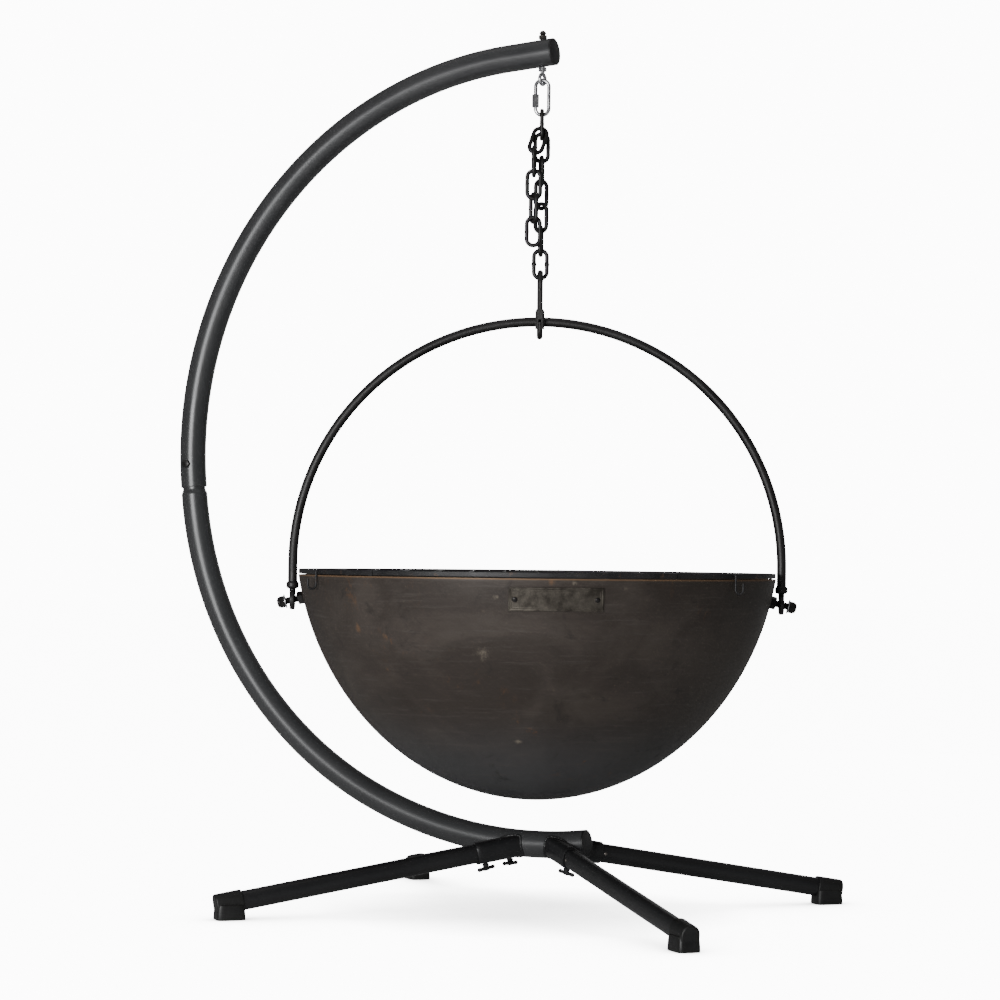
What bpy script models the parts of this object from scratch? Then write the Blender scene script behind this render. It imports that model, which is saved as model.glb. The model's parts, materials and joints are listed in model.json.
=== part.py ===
"""Hanging fire bowl: a tubular steel hoop on four legs carries a chain, a hook and a bail,
and in the bail a dished steel bowl with a lift-off grate.

Units are metres, +Z is up and the ground is z = 0. The hoop lies in the XZ plane. The origin
is on the ground in the middle of the whole stand; the chain hangs at x = CHAIN_X.
"""
import math

import bmesh
import bpy
from mathutils import Matrix, Vector

# ---------------------------------------------------------------- driving dimensions
GAP = 0.0003                    # left between faces that meet
SEAT_GAP = 0.0008               # left under a flat nut on a sloping tube

# hoop tubes
TUBE_RADIUS = 0.023
TUBE_WALL = 0.0025
UPPER_BEND_RADIUS = 0.6685      # centre line
HUB_END_HEIGHT = 0.11900        # centre of the lower tube's hub end
HOOP_SETBACK = 0.004            # hoop centre behind the chain line
TIP_STRAIGHT_DEG = 5.0          # the bend stops this far before the top, then runs straight
TIP_OVERHANG = 0.020            # tube beyond the chain line
JOINT_DEG = 95.4                # where the two tubes meet, counted from the top of the bend
JOINT_KINK_DEG = 1.38           # slack of the sleeve joint
LOWER_BEND_TIGHTER = 0.0275     # than the upper bend
LOWER_BEND_DEG = 61.0
HUB_BEND_WIDER = 0.0515         # than the upper bend
HUB_BEND_DEG = 32.3
TUBE_SIDES = 12
NECK_LENGTH = 0.009             # taper between the full tube and the swaged end
NECK_SHOW = 0.004               # swaged end left bare below the upper tube
SPIGOT_LENGTH = 0.075
SPIGOT_CLEARANCE = 0.0005

# joint bolt
BOLT_RADIUS = 0.004
BOLT_HOLE_CLEARANCE = 0.0004
NUT_FLATS = 0.013
NUT_HEIGHT = 0.0065
HEAD_HEIGHT = 0.0053
JOINT_BOLT_SETBACK = 0.041      # from the end of the upper tube
BOLT_TIP = 0.003                # thread showing beyond a nut

# plastic tube plugs
PLUG_FLANGE = 0.003
PLUG_DEPTH = 0.014

# hub sockets, legs and feet
HUB_OFFSET = 0.0075             # middle of the four sockets, from the chain line
SOCKET_HALF_SPACING = 0.0205
LEG_AZIMUTH_DEG = 43.0
LEG_REACH = 0.515               # socket root to foot, on the ground plan
LEG_HEIGHT = 0.032
LEG_WIDTH = 0.026
LEG_WALL = 0.002
SOCKET_CLEARANCE = 0.0005
SOCKET_WALL = 0.0022
SOCKET_LENGTH = 0.093           # along the leg from the tube's middle
LEG_START = 0.056
FOOT_AXIS_HEIGHT = 0.0265
FOOT_LENGTH = 0.050
FOOT_WIDTH = 0.040
FOOT_BLOCK_HEIGHT = 0.020
FOOT_CAP_WALL = 0.003
FOOT_CAP_LENGTH = 0.046

# clamp screws
CLAMP_FROM_END = 0.015          # screw line back from the socket's mouth
CLAMP_SCREW_RADIUS = 0.004
CLAMP_COLLAR_RADIUS = 0.0058
CLAMP_COLLAR_GAP = 0.0012
CLAMP_STEM = 0.0045
CLAMP_BAR_LENGTH = 0.036
CLAMP_BAR_THICK = 0.0085

# eye bolt
EYE_WIRE_RADIUS = 0.0031
EYE_HOLE_RADIUS = 0.0057
EYE_DROP = 0.0015               # below the lower nut
EYE_YAW_DEG = 31.0              # from the hook's plane
ACORN_HEIGHT = 0.0150
ACORN_BASE = 0.0065

# quick link
QUICK_WIRE_RADIUS = 0.0032
QUICK_HOLE_LENGTH = 0.0527
QUICK_HOLE_WIDTH = 0.016
QUICK_OPENING = 0.009
SLEEVE_LENGTH = 0.0215
SLEEVE_WALL = 0.00205
SLEEVE_DROP = 0.0055            # sleeve's middle below the link's middle
SLEEVE_CLEARANCE = 0.0002

# chain
LINK_WIRE_RADIUS = 0.0036
LINK_LENGTH_IN_WIRES = 13.1111  # centre line over the wire's radius, as chain is graded
LINK_WIDTH_IN_WIRES = 6.1111
LINK_PLAY = 0.0006
MAIN_TWISTS_DEG = (0.0, 86.0, 172.0, 237.3, 302.7, 368.0, 448.0)
TAIL_TOP = (0.1361, -0.9611, -8.5556)     # first tail link's top from the top link's, in wires
TAIL_LEAN = (-3.5389, -5.3444)            # where the tail hangs, across and inward, in wires
TAIL_PLAY = 0.4                           # in wires
TAIL_TWISTS_DEG = (3.65, 90.0, -24.5, 90.5)

# snap hook
HOOK_WIRE_RADIUS = 0.005
HOOK_TOP_HOLE_RADIUS = 0.013
HOOK_SEAT_HOLE_RADIUS = 0.0074
HOOK_LENGTH = 0.1078            # centre line, top to bottom
HOOK_TWIST_DEG = 540.0
GATE_RADIUS = 0.0046
GATE_END_SHARE = 0.26           # gap at the gate's ends over its radius
GATE_BLOCK_WIDTH = 0.0154
GATE_BLOCK_LENGTH = 0.034
GATE_NOSE_LENGTH = 0.014
TONGUE_THICK = 0.0046
TONGUE_CLEARANCE = 0.0004
GATE_PIN_RADIUS = 0.002
GATE_PIN_DROP = 0.004           # below the bail rod's middle
TONGUE_DEPTH = 0.0076

# bail
BAIL_YAW_DEG = 24.0             # the bail's plane is turned this far from the hoop's plane
BAIL_ROD_RADIUS = 0.008
BAIL_SIDE_PLAY = 0.00223        # between the rod and the bowl's rim
BAIL_LEG = 0.0607               # straight part below the half circle, to the pivot
BAIL_COLLAR_STEP = 0.0027       # beyond the rod
BAIL_COLLAR_RISE = 0.0185       # collar's bottom above the pivot
BAIL_COLLAR_HEIGHT = 0.0130
BAIL_EYE_WALL = 0.0092
PIVOT_PLAY = 0.0018             # between the eye's hole and the pivot bolt
BAIL_EYE_THICK = 0.0083

# bowl
BOWL_RADIUS = 0.410             # of the ellipse that the wall follows
BOWL_DROP = 0.460               # lower half axis of that ellipse
RIM_BELOW_WIDEST = 0.083
BOWL_WALL = 0.003
BOWL_ROWS = 10
BOWL_SEGMENTS = 48
PIVOT_BELOW_RIM = 0.0433        # tilt axis below the rim
PIVOT_BOLT_RADIUS = 0.006
PIVOT_NUT_FLATS = 0.019
PIVOT_NUT_HEIGHT = 0.0095
PIVOT_HEAD_HEIGHT = 0.0075
PIVOT_LOCK_NUT_HEIGHT = 0.0115
PIVOT_WASHER_RADIUS = 0.012
PIVOT_WASHER_THICK = 0.0016
PIVOT_WASHER_OUT = 0.0115       # washer beyond the bail's eye, along the bolt

# nameplate
PLATE_WIDTH = 0.150             # round the bowl
PLATE_HEIGHT = 0.038
PLATE_BELOW_RIM = 0.0135
PLATE_YAW_DEG = 4.0             # from the bowl's front
PLATE_THICK = 0.0014
PLATE_BORDER = 0.0035
PLATE_BORDER_RISE = 0.0008
RIVET_RADIUS = 0.0022
RIVET_HEAD_RADIUS = 0.0042
RIVET_HEAD_HEIGHT = 0.0022
RIVET_FROM_END = 0.010

# grate
RING_HEIGHT = 0.008
RING_THICK = 0.005
RING_INSET = 0.0006             # ring's outside inside the rim's outside
RING_FEET_HEIGHT = 0.0012
RING_FEET_DEG = (-50.0, -42.0, 33.0, 75.0, 150.0, 215.0)
RING_FOOT_LENGTH = 0.008
GRATE_BAR_RADIUS = 0.0035
GRATE_BAR_PITCH = 0.056
GRATE_END_SPACE = 0.040         # least from the last bar to the ring
GRATE_CROSS_RADIUS = 0.005
GRATE_CROSS_OFFSET = 0.17
GRATE_HOOK_DEG = (-63.0, 51.5, 174.0)     # from the bowl's front
GRATE_HOOK_WIRE = 0.0018
GRATE_HOOK_WIDTH = 0.0145       # centre line, from the wall outward
GRATE_HOOK_END_DROP = 0.006     # free end below the rim
GRATE_HOOK_DROP = 0.0225        # loop's bottom below the rim
GRATE_HOOK_CLEARANCE = 0.0012

# ---------------------------------------------------------------- places worked out from them
UP = Vector((0.0, 0.0, 1.0))
LOWER_BEND_RADIUS = UPPER_BEND_RADIUS - LOWER_BEND_TIGHTER
HUB_BEND_RADIUS = UPPER_BEND_RADIUS + HUB_BEND_WIDER
BACK_REACH = HOOP_SETBACK + UPPER_BEND_RADIUS + TUBE_RADIUS
LEG_AZIMUTH = math.radians(LEG_AZIMUTH_DEG)
FOOT_REACH = (HUB_OFFSET + SOCKET_HALF_SPACING + LEG_REACH * math.cos(LEG_AZIMUTH)
              + 0.5 * FOOT_LENGTH * math.cos(LEG_AZIMUTH) + 0.5 * FOOT_WIDTH * math.sin(LEG_AZIMUTH))
CHAIN_X = 0.5 * (BACK_REACH - FOOT_REACH)
BAIL_YAW = math.radians(BAIL_YAW_DEG)
ACROSS = Vector((math.cos(BAIL_YAW), math.sin(BAIL_YAW), 0.0))     # along the bail's plane
INTO = Vector((-math.sin(BAIL_YAW), math.cos(BAIL_YAW), 0.0))      # away from the bowl's front
CHAIN_FOOT = Vector((CHAIN_X, 0.0, 0.0))

LINK_LENGTH = LINK_LENGTH_IN_WIRES * LINK_WIRE_RADIUS
LINK_WIDTH = LINK_WIDTH_IN_WIRES * LINK_WIRE_RADIUS
EYE_RADIUS = EYE_HOLE_RADIUS + EYE_WIRE_RADIUS
QUICK_LENGTH = QUICK_HOLE_LENGTH + 2.0 * QUICK_WIRE_RADIUS
QUICK_WIDTH = QUICK_HOLE_WIDTH + 2.0 * QUICK_WIRE_RADIUS
SLEEVE_FLATS = 2.0 * (QUICK_WIRE_RADIUS + SLEEVE_WALL)
HOOK_TOP_RADIUS = HOOK_TOP_HOLE_RADIUS + HOOK_WIRE_RADIUS
HOOK_SEAT_RADIUS = HOOK_SEAT_HOLE_RADIUS + HOOK_WIRE_RADIUS
BAIL_RADIUS = (BOWL_RADIUS * math.sqrt(1.0 - (RIM_BELOW_WIDEST / BOWL_DROP) ** 2)
               + BAIL_SIDE_PLAY + BAIL_ROD_RADIUS)
BAIL_COLLAR_RADIUS = BAIL_ROD_RADIUS + BAIL_COLLAR_STEP
BAIL_EYE_HOLE_RADIUS = PIVOT_BOLT_RADIUS + PIVOT_PLAY
BAIL_EYE_RADIUS = BAIL_EYE_HOLE_RADIUS + BAIL_EYE_WALL


# ---------------------------------------------------------------- materials
def finish(name, colour, roughness, metallic):
    """A plain Principled finish."""
    made = bpy.data.materials.new(name)
    made.use_nodes = True
    shader = made.node_tree.nodes["Principled BSDF"]
    shader.inputs["Base Color"].default_value = (*colour, 1.0)
    shader.inputs["Roughness"].default_value = roughness
    shader.inputs["Metallic"].default_value = metallic
    made.diffuse_color = (*colour, 1.0)
    return made


# ---------------------------------------------------------------- making solids
def new_object(name, vertices, faces, material, smooth_deg=35.0):
    """An object at the world origin whose mesh holds the given vertices and faces."""
    mesh = bpy.data.meshes.new(name)
    mesh.from_pydata([tuple(v) for v in vertices], [], [tuple(f) for f in faces])
    work = bmesh.new()
    work.from_mesh(mesh)
    bmesh.ops.recalc_face_normals(work, faces=work.faces)
    work.to_mesh(mesh)
    work.free()
    mesh.materials.append(material)
    mesh.shade_smooth()
    mesh.set_sharp_from_angle(angle=math.radians(smooth_deg))
    made = bpy.data.objects.new(name, mesh)
    bpy.context.collection.objects.link(made)
    return made


def set_origin(thing, point):
    """Move an object's origin to a point and leave its surface where it is."""
    shift = Vector(point) - thing.location
    thing.data.transform(Matrix.Translation(-shift))
    thing.location = Vector(point)


def modify(thing, kind, other, operation):
    """Cut or join a helper solid with an exact Boolean, applied, and remove the helper."""
    made = thing.modifiers.new(kind, "BOOLEAN")
    made.operation = operation
    made.solver = "EXACT"
    made.object = other
    other.hide_render = True
    other.display_type = "WIRE"
    bpy.context.view_layer.update()
    evaluated = thing.evaluated_get(bpy.context.evaluated_depsgraph_get())
    result = bpy.data.meshes.new_from_object(evaluated)
    old = thing.data
    thing.modifiers.clear()
    thing.data = result
    bpy.data.meshes.remove(old)
    bpy.data.objects.remove(other)
    work = bmesh.new()
    work.from_mesh(result)
    bmesh.ops.remove_doubles(work, verts=work.verts, dist=0.00001)
    bmesh.ops.dissolve_degenerate(work, edges=work.edges, dist=0.00001)
    work.to_mesh(result)
    work.free()


def cut(thing, tool):
    modify(thing, "cut", tool, "DIFFERENCE")


def join(thing, tool):
    modify(thing, "join", tool, "UNION")


def frame_from(direction, side=None):
    """Two unit vectors square to a direction; the first is as near to side as it can be."""
    forward = Vector(direction).normalized()
    hint = Vector(side) if side is not None else (UP if abs(forward.z) < 0.9 else Vector((1, 0, 0)))
    first = (hint - forward * hint.dot(forward)).normalized()
    return first, forward.cross(first)


def circle(radius, sides, turn=0.0):
    """Corners of a regular polygon, as pairs of numbers."""
    angles = [turn + 2.0 * math.pi * k / sides for k in range(sides)]
    return [(radius * math.cos(a), radius * math.sin(a)) for a in angles]


def hexagon(flats, turn=0.0):
    """Corners of a hexagon from its width across the flats."""
    return circle(0.5 * flats / math.cos(math.pi / 6.0), 6, turn)


def oval(height, width, sides):
    """Corners of a flat-sided oval: a superellipse with the given height and width."""
    corners = []
    for k in range(sides):
        angle = 2.0 * math.pi * (k + 0.5) / sides
        c, s = math.cos(angle), math.sin(angle)
        corners.append((0.5 * height * math.copysign(abs(c) ** 0.8, c),
                        0.5 * width * math.copysign(abs(s) ** 0.8, s)))
    return corners


def sweep(name, stations, material, side=None, closed=False):
    """Carry outlines along a path. stations holds (point, outline) pairs; the frame is
    turned as little as possible from each station to the next, and open ends are filled."""
    points = [Vector(p) for p, _ in stations]
    count = len(points)
    vertices, rings = [], []
    first = None
    for i in range(count):
        ahead = points[(i + 1) % count] if closed or i < count - 1 else points[i]
        behind = points[i - 1] if closed or i > 0 else points[i]
        tangent = (ahead - behind).normalized()
        hint = first if first is not None else side
        first, second = frame_from(tangent, hint)
        ring = []
        for u, v in stations[i][1]:
            ring.append(len(vertices))
            vertices.append(points[i] + first * u + second * v)
        rings.append(ring)
    faces = []
    for i in range(count if closed else count - 1):
        here, there = rings[i], rings[(i + 1) % count]
        for k in range(len(here)):
            n = (k + 1) % len(here)
            faces.append((here[k], here[n], there[n], there[k]))
    if not closed:
        faces.append(rings[0][::-1])
        faces.append(rings[-1])
    return new_object(name, vertices, faces, material)


def tube(name, stations, material, side=None):
    """A pipe open at both ends. stations holds (point, outer outline, inner outline)."""
    points = [Vector(s[0]) for s in stations]
    count = len(points)
    vertices, outer_rings, inner_rings = [], [], []
    first = None
    for i in range(count):
        ahead = points[min(i + 1, count - 1)]
        behind = points[max(i - 1, 0)]
        hint = first if first is not None else side
        first, second = frame_from(ahead - behind, hint)
        for outline, rings in ((stations[i][1], outer_rings), (stations[i][2], inner_rings)):
            ring = []
            for u, v in outline:
                ring.append(len(vertices))
                vertices.append(points[i] + first * u + second * v)
            rings.append(ring)
    faces = []
    sides = len(outer_rings[0])
    for k in range(sides):
        n = (k + 1) % sides
        for i in range(count - 1):
            a, b = outer_rings[i], outer_rings[i + 1]
            faces.append((a[k], a[n], b[n], b[k]))
            a, b = inner_rings[i], inner_rings[i + 1]
            faces.append((a[n], a[k], b[k], b[n]))
        faces.append((outer_rings[0][n], outer_rings[0][k], inner_rings[0][k], inner_rings[0][n]))
        faces.append((outer_rings[-1][k], outer_rings[-1][n], inner_rings[-1][n], inner_rings[-1][k]))
    return new_object(name, vertices, faces, material)


def bar(name, start, end, outline, material, side=None):
    """A straight prism between two points."""
    return sweep(name, [(start, outline), (end, outline)], material, side)


def turned(name, base, direction, profile, sides, material, side=None):
    """A solid of revolution. profile runs (height, radius) up the axis, from one end to the
    other; a radius of 0 at an end closes it in a point."""
    base, forward = Vector(base), Vector(direction).normalized()
    first, second = frame_from(forward, side)
    vertices, rings = [], []
    for height, radius in profile:
        ring = []
        if radius == 0.0:
            ring = [len(vertices)] * sides
            vertices.append(base + forward * height)
        else:
            for u, v in circle(radius, sides):
                ring.append(len(vertices))
                vertices.append(base + forward * height + first * u + second * v)
        rings.append(ring)
    faces = []
    for low, high in zip(rings[:-1], rings[1:]):
        for k in range(sides):
            n = (k + 1) % sides
            corners = []
            for corner in (low[k], low[n], high[n], high[k]):
                if corner not in corners:
                    corners.append(corner)
            if len(corners) > 2:
                faces.append(corners)
    if profile[0][1] > 0.0:
        faces.append(rings[0][::-1])
    if profile[-1][1] > 0.0:
        faces.append(rings[-1])
    return new_object(name, vertices, faces, material)


def nut(name, base, direction, flats, height, bore, material, turn=0.0):
    """A hexagon nut with a plain round bore of twelve sides."""
    base, forward = Vector(base), Vector(direction).normalized()
    outer = []
    corners = hexagon(flats, turn)
    for k in range(6):
        a, b = corners[k], corners[(k + 1) % 6]
        outer += [a, (0.5 * (a[0] + b[0]), 0.5 * (a[1] + b[1]))]
    inner = circle(bore, 12, turn)
    return tube(name, [(base, outer, inner), (base + forward * height, outer, inner)], material)


def washer(name, base, direction, radius, bore, thick, material):
    """A flat round washer."""
    base, forward = Vector(base), Vector(direction).normalized()
    outer, inner = circle(radius, 20), circle(bore, 20)
    return tube(name, [(base, outer, inner), (base + forward * thick, outer, inner)], material)


# ---------------------------------------------------------------- hoop
def hoop_centre_height():
    """Height of the upper bend's centre: the two tubes below the joint drop from it to the
    hub end, radius * (cos(first heading) - cos(last heading)) in each bend."""
    first = math.radians(JOINT_DEG - 180.0 - JOINT_KINK_DEG)
    second = first + math.radians(LOWER_BEND_DEG)
    last = second + math.radians(HUB_BEND_DEG)
    return (HUB_END_HEIGHT - UPPER_BEND_RADIUS * math.cos(math.radians(JOINT_DEG))
            - LOWER_BEND_RADIUS * (math.cos(first) - math.cos(second))
            - HUB_BEND_RADIUS * (math.cos(second) - math.cos(last)))


def on_upper_bend(degrees):
    """Centre of the upper tube, at an angle from the top of the bend towards the back."""
    angle = math.radians(degrees)
    return Vector((CHAIN_X - HOOP_SETBACK - UPPER_BEND_RADIUS * math.sin(angle), 0.0,
                   hoop_centre_height() + UPPER_BEND_RADIUS * math.cos(angle)))


def tip_direction():
    """Direction of the straight end of the upper tube."""
    angle = math.radians(TIP_STRAIGHT_DEG)
    return Vector((math.cos(angle), 0.0, math.sin(angle)))


def on_tip(beyond):
    """Centre of the straight end, at a distance beyond the chain line."""
    start = on_upper_bend(TIP_STRAIGHT_DEG)
    heading = tip_direction()
    return start + heading * ((CHAIN_X + beyond - start.x) / heading.x)


def bend(start, heading_deg, radius, sweep_deg, steps):
    """Points on an arc in the XZ plane that turns left, without its first point, and the
    heading at its end. A heading of 0 points along +X and 90 points up."""
    heading = math.radians(heading_deg)
    centre = start + Vector((-math.sin(heading), 0.0, math.cos(heading))) * radius
    points = []
    for k in range(1, steps + 1):
        angle = heading + math.radians(sweep_deg) * k / steps
        points.append(centre + Vector((math.sin(angle), 0.0, -math.cos(angle))) * radius)
    return points, heading_deg + sweep_deg


def lower_path():
    """Centre line of the lower tube below the joint, and its heading at the hub end."""
    start = on_upper_bend(JOINT_DEG)
    heading = JOINT_DEG - 180.0 - JOINT_KINK_DEG
    points = [start]
    for radius, degrees, steps in ((LOWER_BEND_RADIUS, LOWER_BEND_DEG, 11),
                                   (HUB_BEND_RADIUS, HUB_BEND_DEG, 6)):
        more, heading = bend(points[-1], heading, radius, degrees, steps)
        points += more
    return points, heading


def hub_point(x):
    """Centre of the lower tube near the hub, at a distance x along from the chain line."""
    points = lower_path()[0]
    for a, b in zip(points[:-1], points[1:]):
        if a.x <= CHAIN_X + x <= b.x:
            return a.lerp(b, (CHAIN_X + x - a.x) / (b.x - a.x))
    return points[-1]


def make_upper_tube(paint):
    """The bent upper tube, with holes for the eye bolt and the joint bolt."""
    outer, inner = circle(TUBE_RADIUS, TUBE_SIDES), circle(TUBE_RADIUS - TUBE_WALL, TUBE_SIDES)
    steps = 26
    points = [on_tip(TIP_OVERHANG)]
    for k in range(steps + 1):
        points.append(on_upper_bend(TIP_STRAIGHT_DEG + (JOINT_DEG - TIP_STRAIGHT_DEG) * k / steps))
    made = tube("upper_arc_tube", [(p, outer, inner) for p in points], paint, (0.0, 1.0, 0.0))
    middle = on_tip(0.0)
    hole = circle(BOLT_RADIUS + BOLT_HOLE_CLEARANCE, 12)
    cut(made, bar("eye_bolt_hole", middle - UP * 2.0 * TUBE_RADIUS, middle + UP * 2.0 * TUBE_RADIUS,
                  hole, paint))
    cut(made, joint_bolt_hole(paint))
    return made


def joint_bolt_centre():
    """Where the joint bolt crosses the tubes."""
    return on_upper_bend(JOINT_DEG - math.degrees(JOINT_BOLT_SETBACK / UPPER_BEND_RADIUS))


def joint_bolt_hole(paint):
    """Cutter for the joint bolt's hole."""
    centre, side = joint_bolt_centre(), Vector((0.0, 2.0 * TUBE_RADIUS, 0.0))
    return bar("joint_hole", centre - side, centre + side,
               circle(BOLT_RADIUS + BOLT_HOLE_CLEARANCE, 12), paint)


def make_lower_tube(paint):
    """The lower tube: a swaged spigot inside the upper tube, a short neck, then full size."""
    outer, inner = circle(TUBE_RADIUS, TUBE_SIDES), circle(TUBE_RADIUS - TUBE_WALL, TUBE_SIDES)
    spigot_radius = TUBE_RADIUS - TUBE_WALL - SPIGOT_CLEARANCE
    thin = circle(spigot_radius, TUBE_SIDES)
    bore = circle(spigot_radius - TUBE_WALL, TUBE_SIDES)
    stations = []
    for k in range(4):
        back = SPIGOT_LENGTH * (1.0 - k / 3.0)
        stations.append((on_upper_bend(JOINT_DEG - math.degrees(back / UPPER_BEND_RADIUS)), thin, bore))
    path = lower_path()[0]
    start = path[0]
    heading = (path[1] - start).normalized()
    stations.append((start + heading * NECK_SHOW, thin, bore))
    stations.append((start + heading * (NECK_SHOW + NECK_LENGTH), outer, inner))
    stations += [(p, outer, inner) for p in path[1:]]
    made = tube("lower_arc_tube", stations, paint, (0.0, 1.0, 0.0))
    cut(made, joint_bolt_hole(paint))
    return made


def make_plug(name, mouth, outward, plastic):
    """A ribbed plug: a domed flange over the tube's end and a body pushed inside."""
    body = TUBE_RADIUS - TUBE_WALL - SPIGOT_CLEARANCE
    profile = [(-PLUG_DEPTH, body - 0.001), (-PLUG_DEPTH + 0.002, body), (GAP, body),
               (GAP, TUBE_RADIUS), (PLUG_FLANGE * 0.7, TUBE_RADIUS),
               (PLUG_FLANGE, TUBE_RADIUS * 0.9), (PLUG_FLANGE * 1.25, TUBE_RADIUS * 0.45)]
    return turned(name, mouth, outward, profile, TUBE_SIDES, plastic, (0.0, 1.0, 0.0))


def make_joint_bolt(zinc):
    """The bolt through the sleeve joint, its head on the front side, and its nut."""
    centre = joint_bolt_centre()
    front = Vector((0.0, -1.0, 0.0))
    seat = TUBE_RADIUS + GAP
    under_head = centre + front * seat
    head = bar("joint_bolt", under_head, under_head + front * HEAD_HEIGHT, hexagon(NUT_FLATS), zinc)
    shank_end = centre - front * (seat + NUT_HEIGHT + BOLT_TIP)
    join(head, bar("shank", under_head + front * 0.001, shank_end, circle(BOLT_RADIUS, 12), zinc))
    nut("joint_nut", centre - front * seat, -front, NUT_FLATS, NUT_HEIGHT, BOLT_RADIUS + GAP, zinc)
    return head


# ---------------------------------------------------------------- hub, legs and feet
def leg_line(side_x, side_y):
    """Root on the hub tube, unit direction down the leg, and the ground plan direction."""
    root = hub_point(HUB_OFFSET + side_x * SOCKET_HALF_SPACING)
    plan = Vector((side_x * math.cos(LEG_AZIMUTH), side_y * math.sin(LEG_AZIMUTH), 0.0))
    foot = Vector((root.x, 0.0, 0.0)) + plan * LEG_REACH + UP * FOOT_AXIS_HEIGHT
    return root, (foot - root).normalized(), plan, foot


def socket_outlines():
    """Outer and inner outlines of a socket that holds a leg."""
    inner = (LEG_HEIGHT + 2.0 * SOCKET_CLEARANCE, LEG_WIDTH + 2.0 * SOCKET_CLEARANCE)
    grow = 2.0 * SOCKET_WALL
    return oval(inner[0] + grow, inner[1] + grow, 16), oval(inner[0], inner[1], 16)


def clamp_point(side_x, side_y):
    """Where a clamp screw's line crosses its leg's axis, and the screw's direction."""
    root, along, _, _ = leg_line(side_x, side_y)
    down = (-UP - along * (-UP).dot(along)).normalized()
    return root + along * (SOCKET_LENGTH - CLAMP_FROM_END), down


def make_socket(corner, side_x, side_y, paint):
    """A short oval socket, saddle-cut to the hub tube, with a tapped hole underneath."""
    root, along, _, _ = leg_line(side_x, side_y)
    outer, inner = socket_outlines()
    made = tube("leg_socket_" + corner, [(root + along * 0.004, outer, inner),
                                         (root + along * SOCKET_LENGTH, outer, inner)], paint, UP)
    span = SOCKET_LENGTH + TUBE_RADIUS
    saddle = [(p, circle(TUBE_RADIUS + GAP, 32)) for p in lower_path()[0]
              if abs(p.x - root.x) < span]
    cut(made, sweep("saddle", saddle, paint, (0.0, 1.0, 0.0)))
    centre, down = clamp_point(side_x, side_y)
    cut(made, bar("screw_hole", centre + down * 0.2 * LEG_HEIGHT, centre + down * LEG_HEIGHT,
                  circle(CLAMP_SCREW_RADIUS + GAP, 12), paint))
    return made


def make_leg(corner, side_x, side_y, paint):
    """A straight flat-sided oval tube from inside the socket to inside the foot cap."""
    root, along, _, foot = leg_line(side_x, side_y)
    end = foot + along * (0.5 * FOOT_LENGTH - FOOT_CAP_WALL - GAP)
    outer = oval(LEG_HEIGHT, LEG_WIDTH, 16)
    inner = oval(LEG_HEIGHT - 2.0 * LEG_WALL, LEG_WIDTH - 2.0 * LEG_WALL, 16)
    return tube("leg_tube_" + corner, [(root + along * LEG_START, outer, inner), (end, outer, inner)],
                paint, UP)


def make_foot(corner, side_x, side_y, rubber):
    """A moulded cap: an oval sleeve over the leg's end, blended to a flat-bottomed block."""
    _, along, plan, foot = leg_line(side_x, side_y)
    cap_end = foot + along * (0.5 * FOOT_LENGTH)
    cap_start = cap_end - along * FOOT_CAP_LENGTH
    outline = oval(LEG_HEIGHT + 2.0 * FOOT_CAP_WALL, LEG_WIDTH + 2.0 * FOOT_CAP_WALL, 16)
    made = bar("foot_cap_" + corner, cap_start, cap_end, outline, rubber, UP)
    block_centre = Vector((foot.x, foot.y, 0.0))
    half = 0.5 * FOOT_LENGTH
    corner_cut = 0.18 * FOOT_WIDTH
    wide = 0.5 * FOOT_WIDTH
    block = [(wide, -half + corner_cut), (wide, half - corner_cut), (wide - corner_cut, half),
             (corner_cut - wide, half), (-wide, half - corner_cut), (-wide, corner_cut - half),
             (corner_cut - wide, -half), (wide - corner_cut, -half)]
    top = FOOT_BLOCK_HEIGHT
    small = [(0.94 * u, 0.94 * v) for u, v in block]
    cross = plan.cross(UP)
    base = sweep("block", [(block_centre, block), (block_centre + UP * 0.75 * top, block),
                           (block_centre + UP * top, small)], rubber, cross)
    join(made, base)
    pocket = oval(LEG_HEIGHT + 2.0 * GAP, LEG_WIDTH + 2.0 * GAP, 16)
    cut(made, bar("pocket", cap_start - along * 0.02, cap_end - along * FOOT_CAP_WALL, pocket,
                  rubber, UP))
    return made


def make_clamp(corner, side_x, side_y, plastic):
    """A T-handle clamp screw: threaded tip, collar, stem and a rounded bar."""
    centre, down = clamp_point(side_x, side_y)
    along = leg_line(side_x, side_y)[1]
    tip = 0.5 * LEG_HEIGHT + GAP
    shoulder = 0.5 * LEG_HEIGHT + SOCKET_CLEARANCE + SOCKET_WALL + CLAMP_COLLAR_GAP
    profile = [(tip, CLAMP_SCREW_RADIUS), (shoulder, CLAMP_SCREW_RADIUS),
               (shoulder, CLAMP_COLLAR_RADIUS), (shoulder + CLAMP_STEM, CLAMP_COLLAR_RADIUS)]
    made = turned("clamp_screw_" + corner, centre, down, profile, 12, plastic, along)
    middle = centre + down * (shoulder + CLAMP_STEM - 0.001 + 0.5 * CLAMP_BAR_THICK)
    thick = 0.5 * CLAMP_BAR_THICK
    half = 0.5 * CLAMP_BAR_LENGTH
    across = along.cross(down)
    run = along * 0.94 + across * 0.34
    run.normalize()
    stations = [(middle - run * half, circle(0.7 * thick, 8)),
                (middle - run * (half - 0.4 * thick), circle(thick, 8)),
                (middle + run * (half - 0.4 * thick), circle(thick, 8)),
                (middle + run * half, circle(0.7 * thick, 8))]
    join(made, sweep("bar", stations, plastic, down))
    set_origin(made, centre)
    return made


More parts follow.
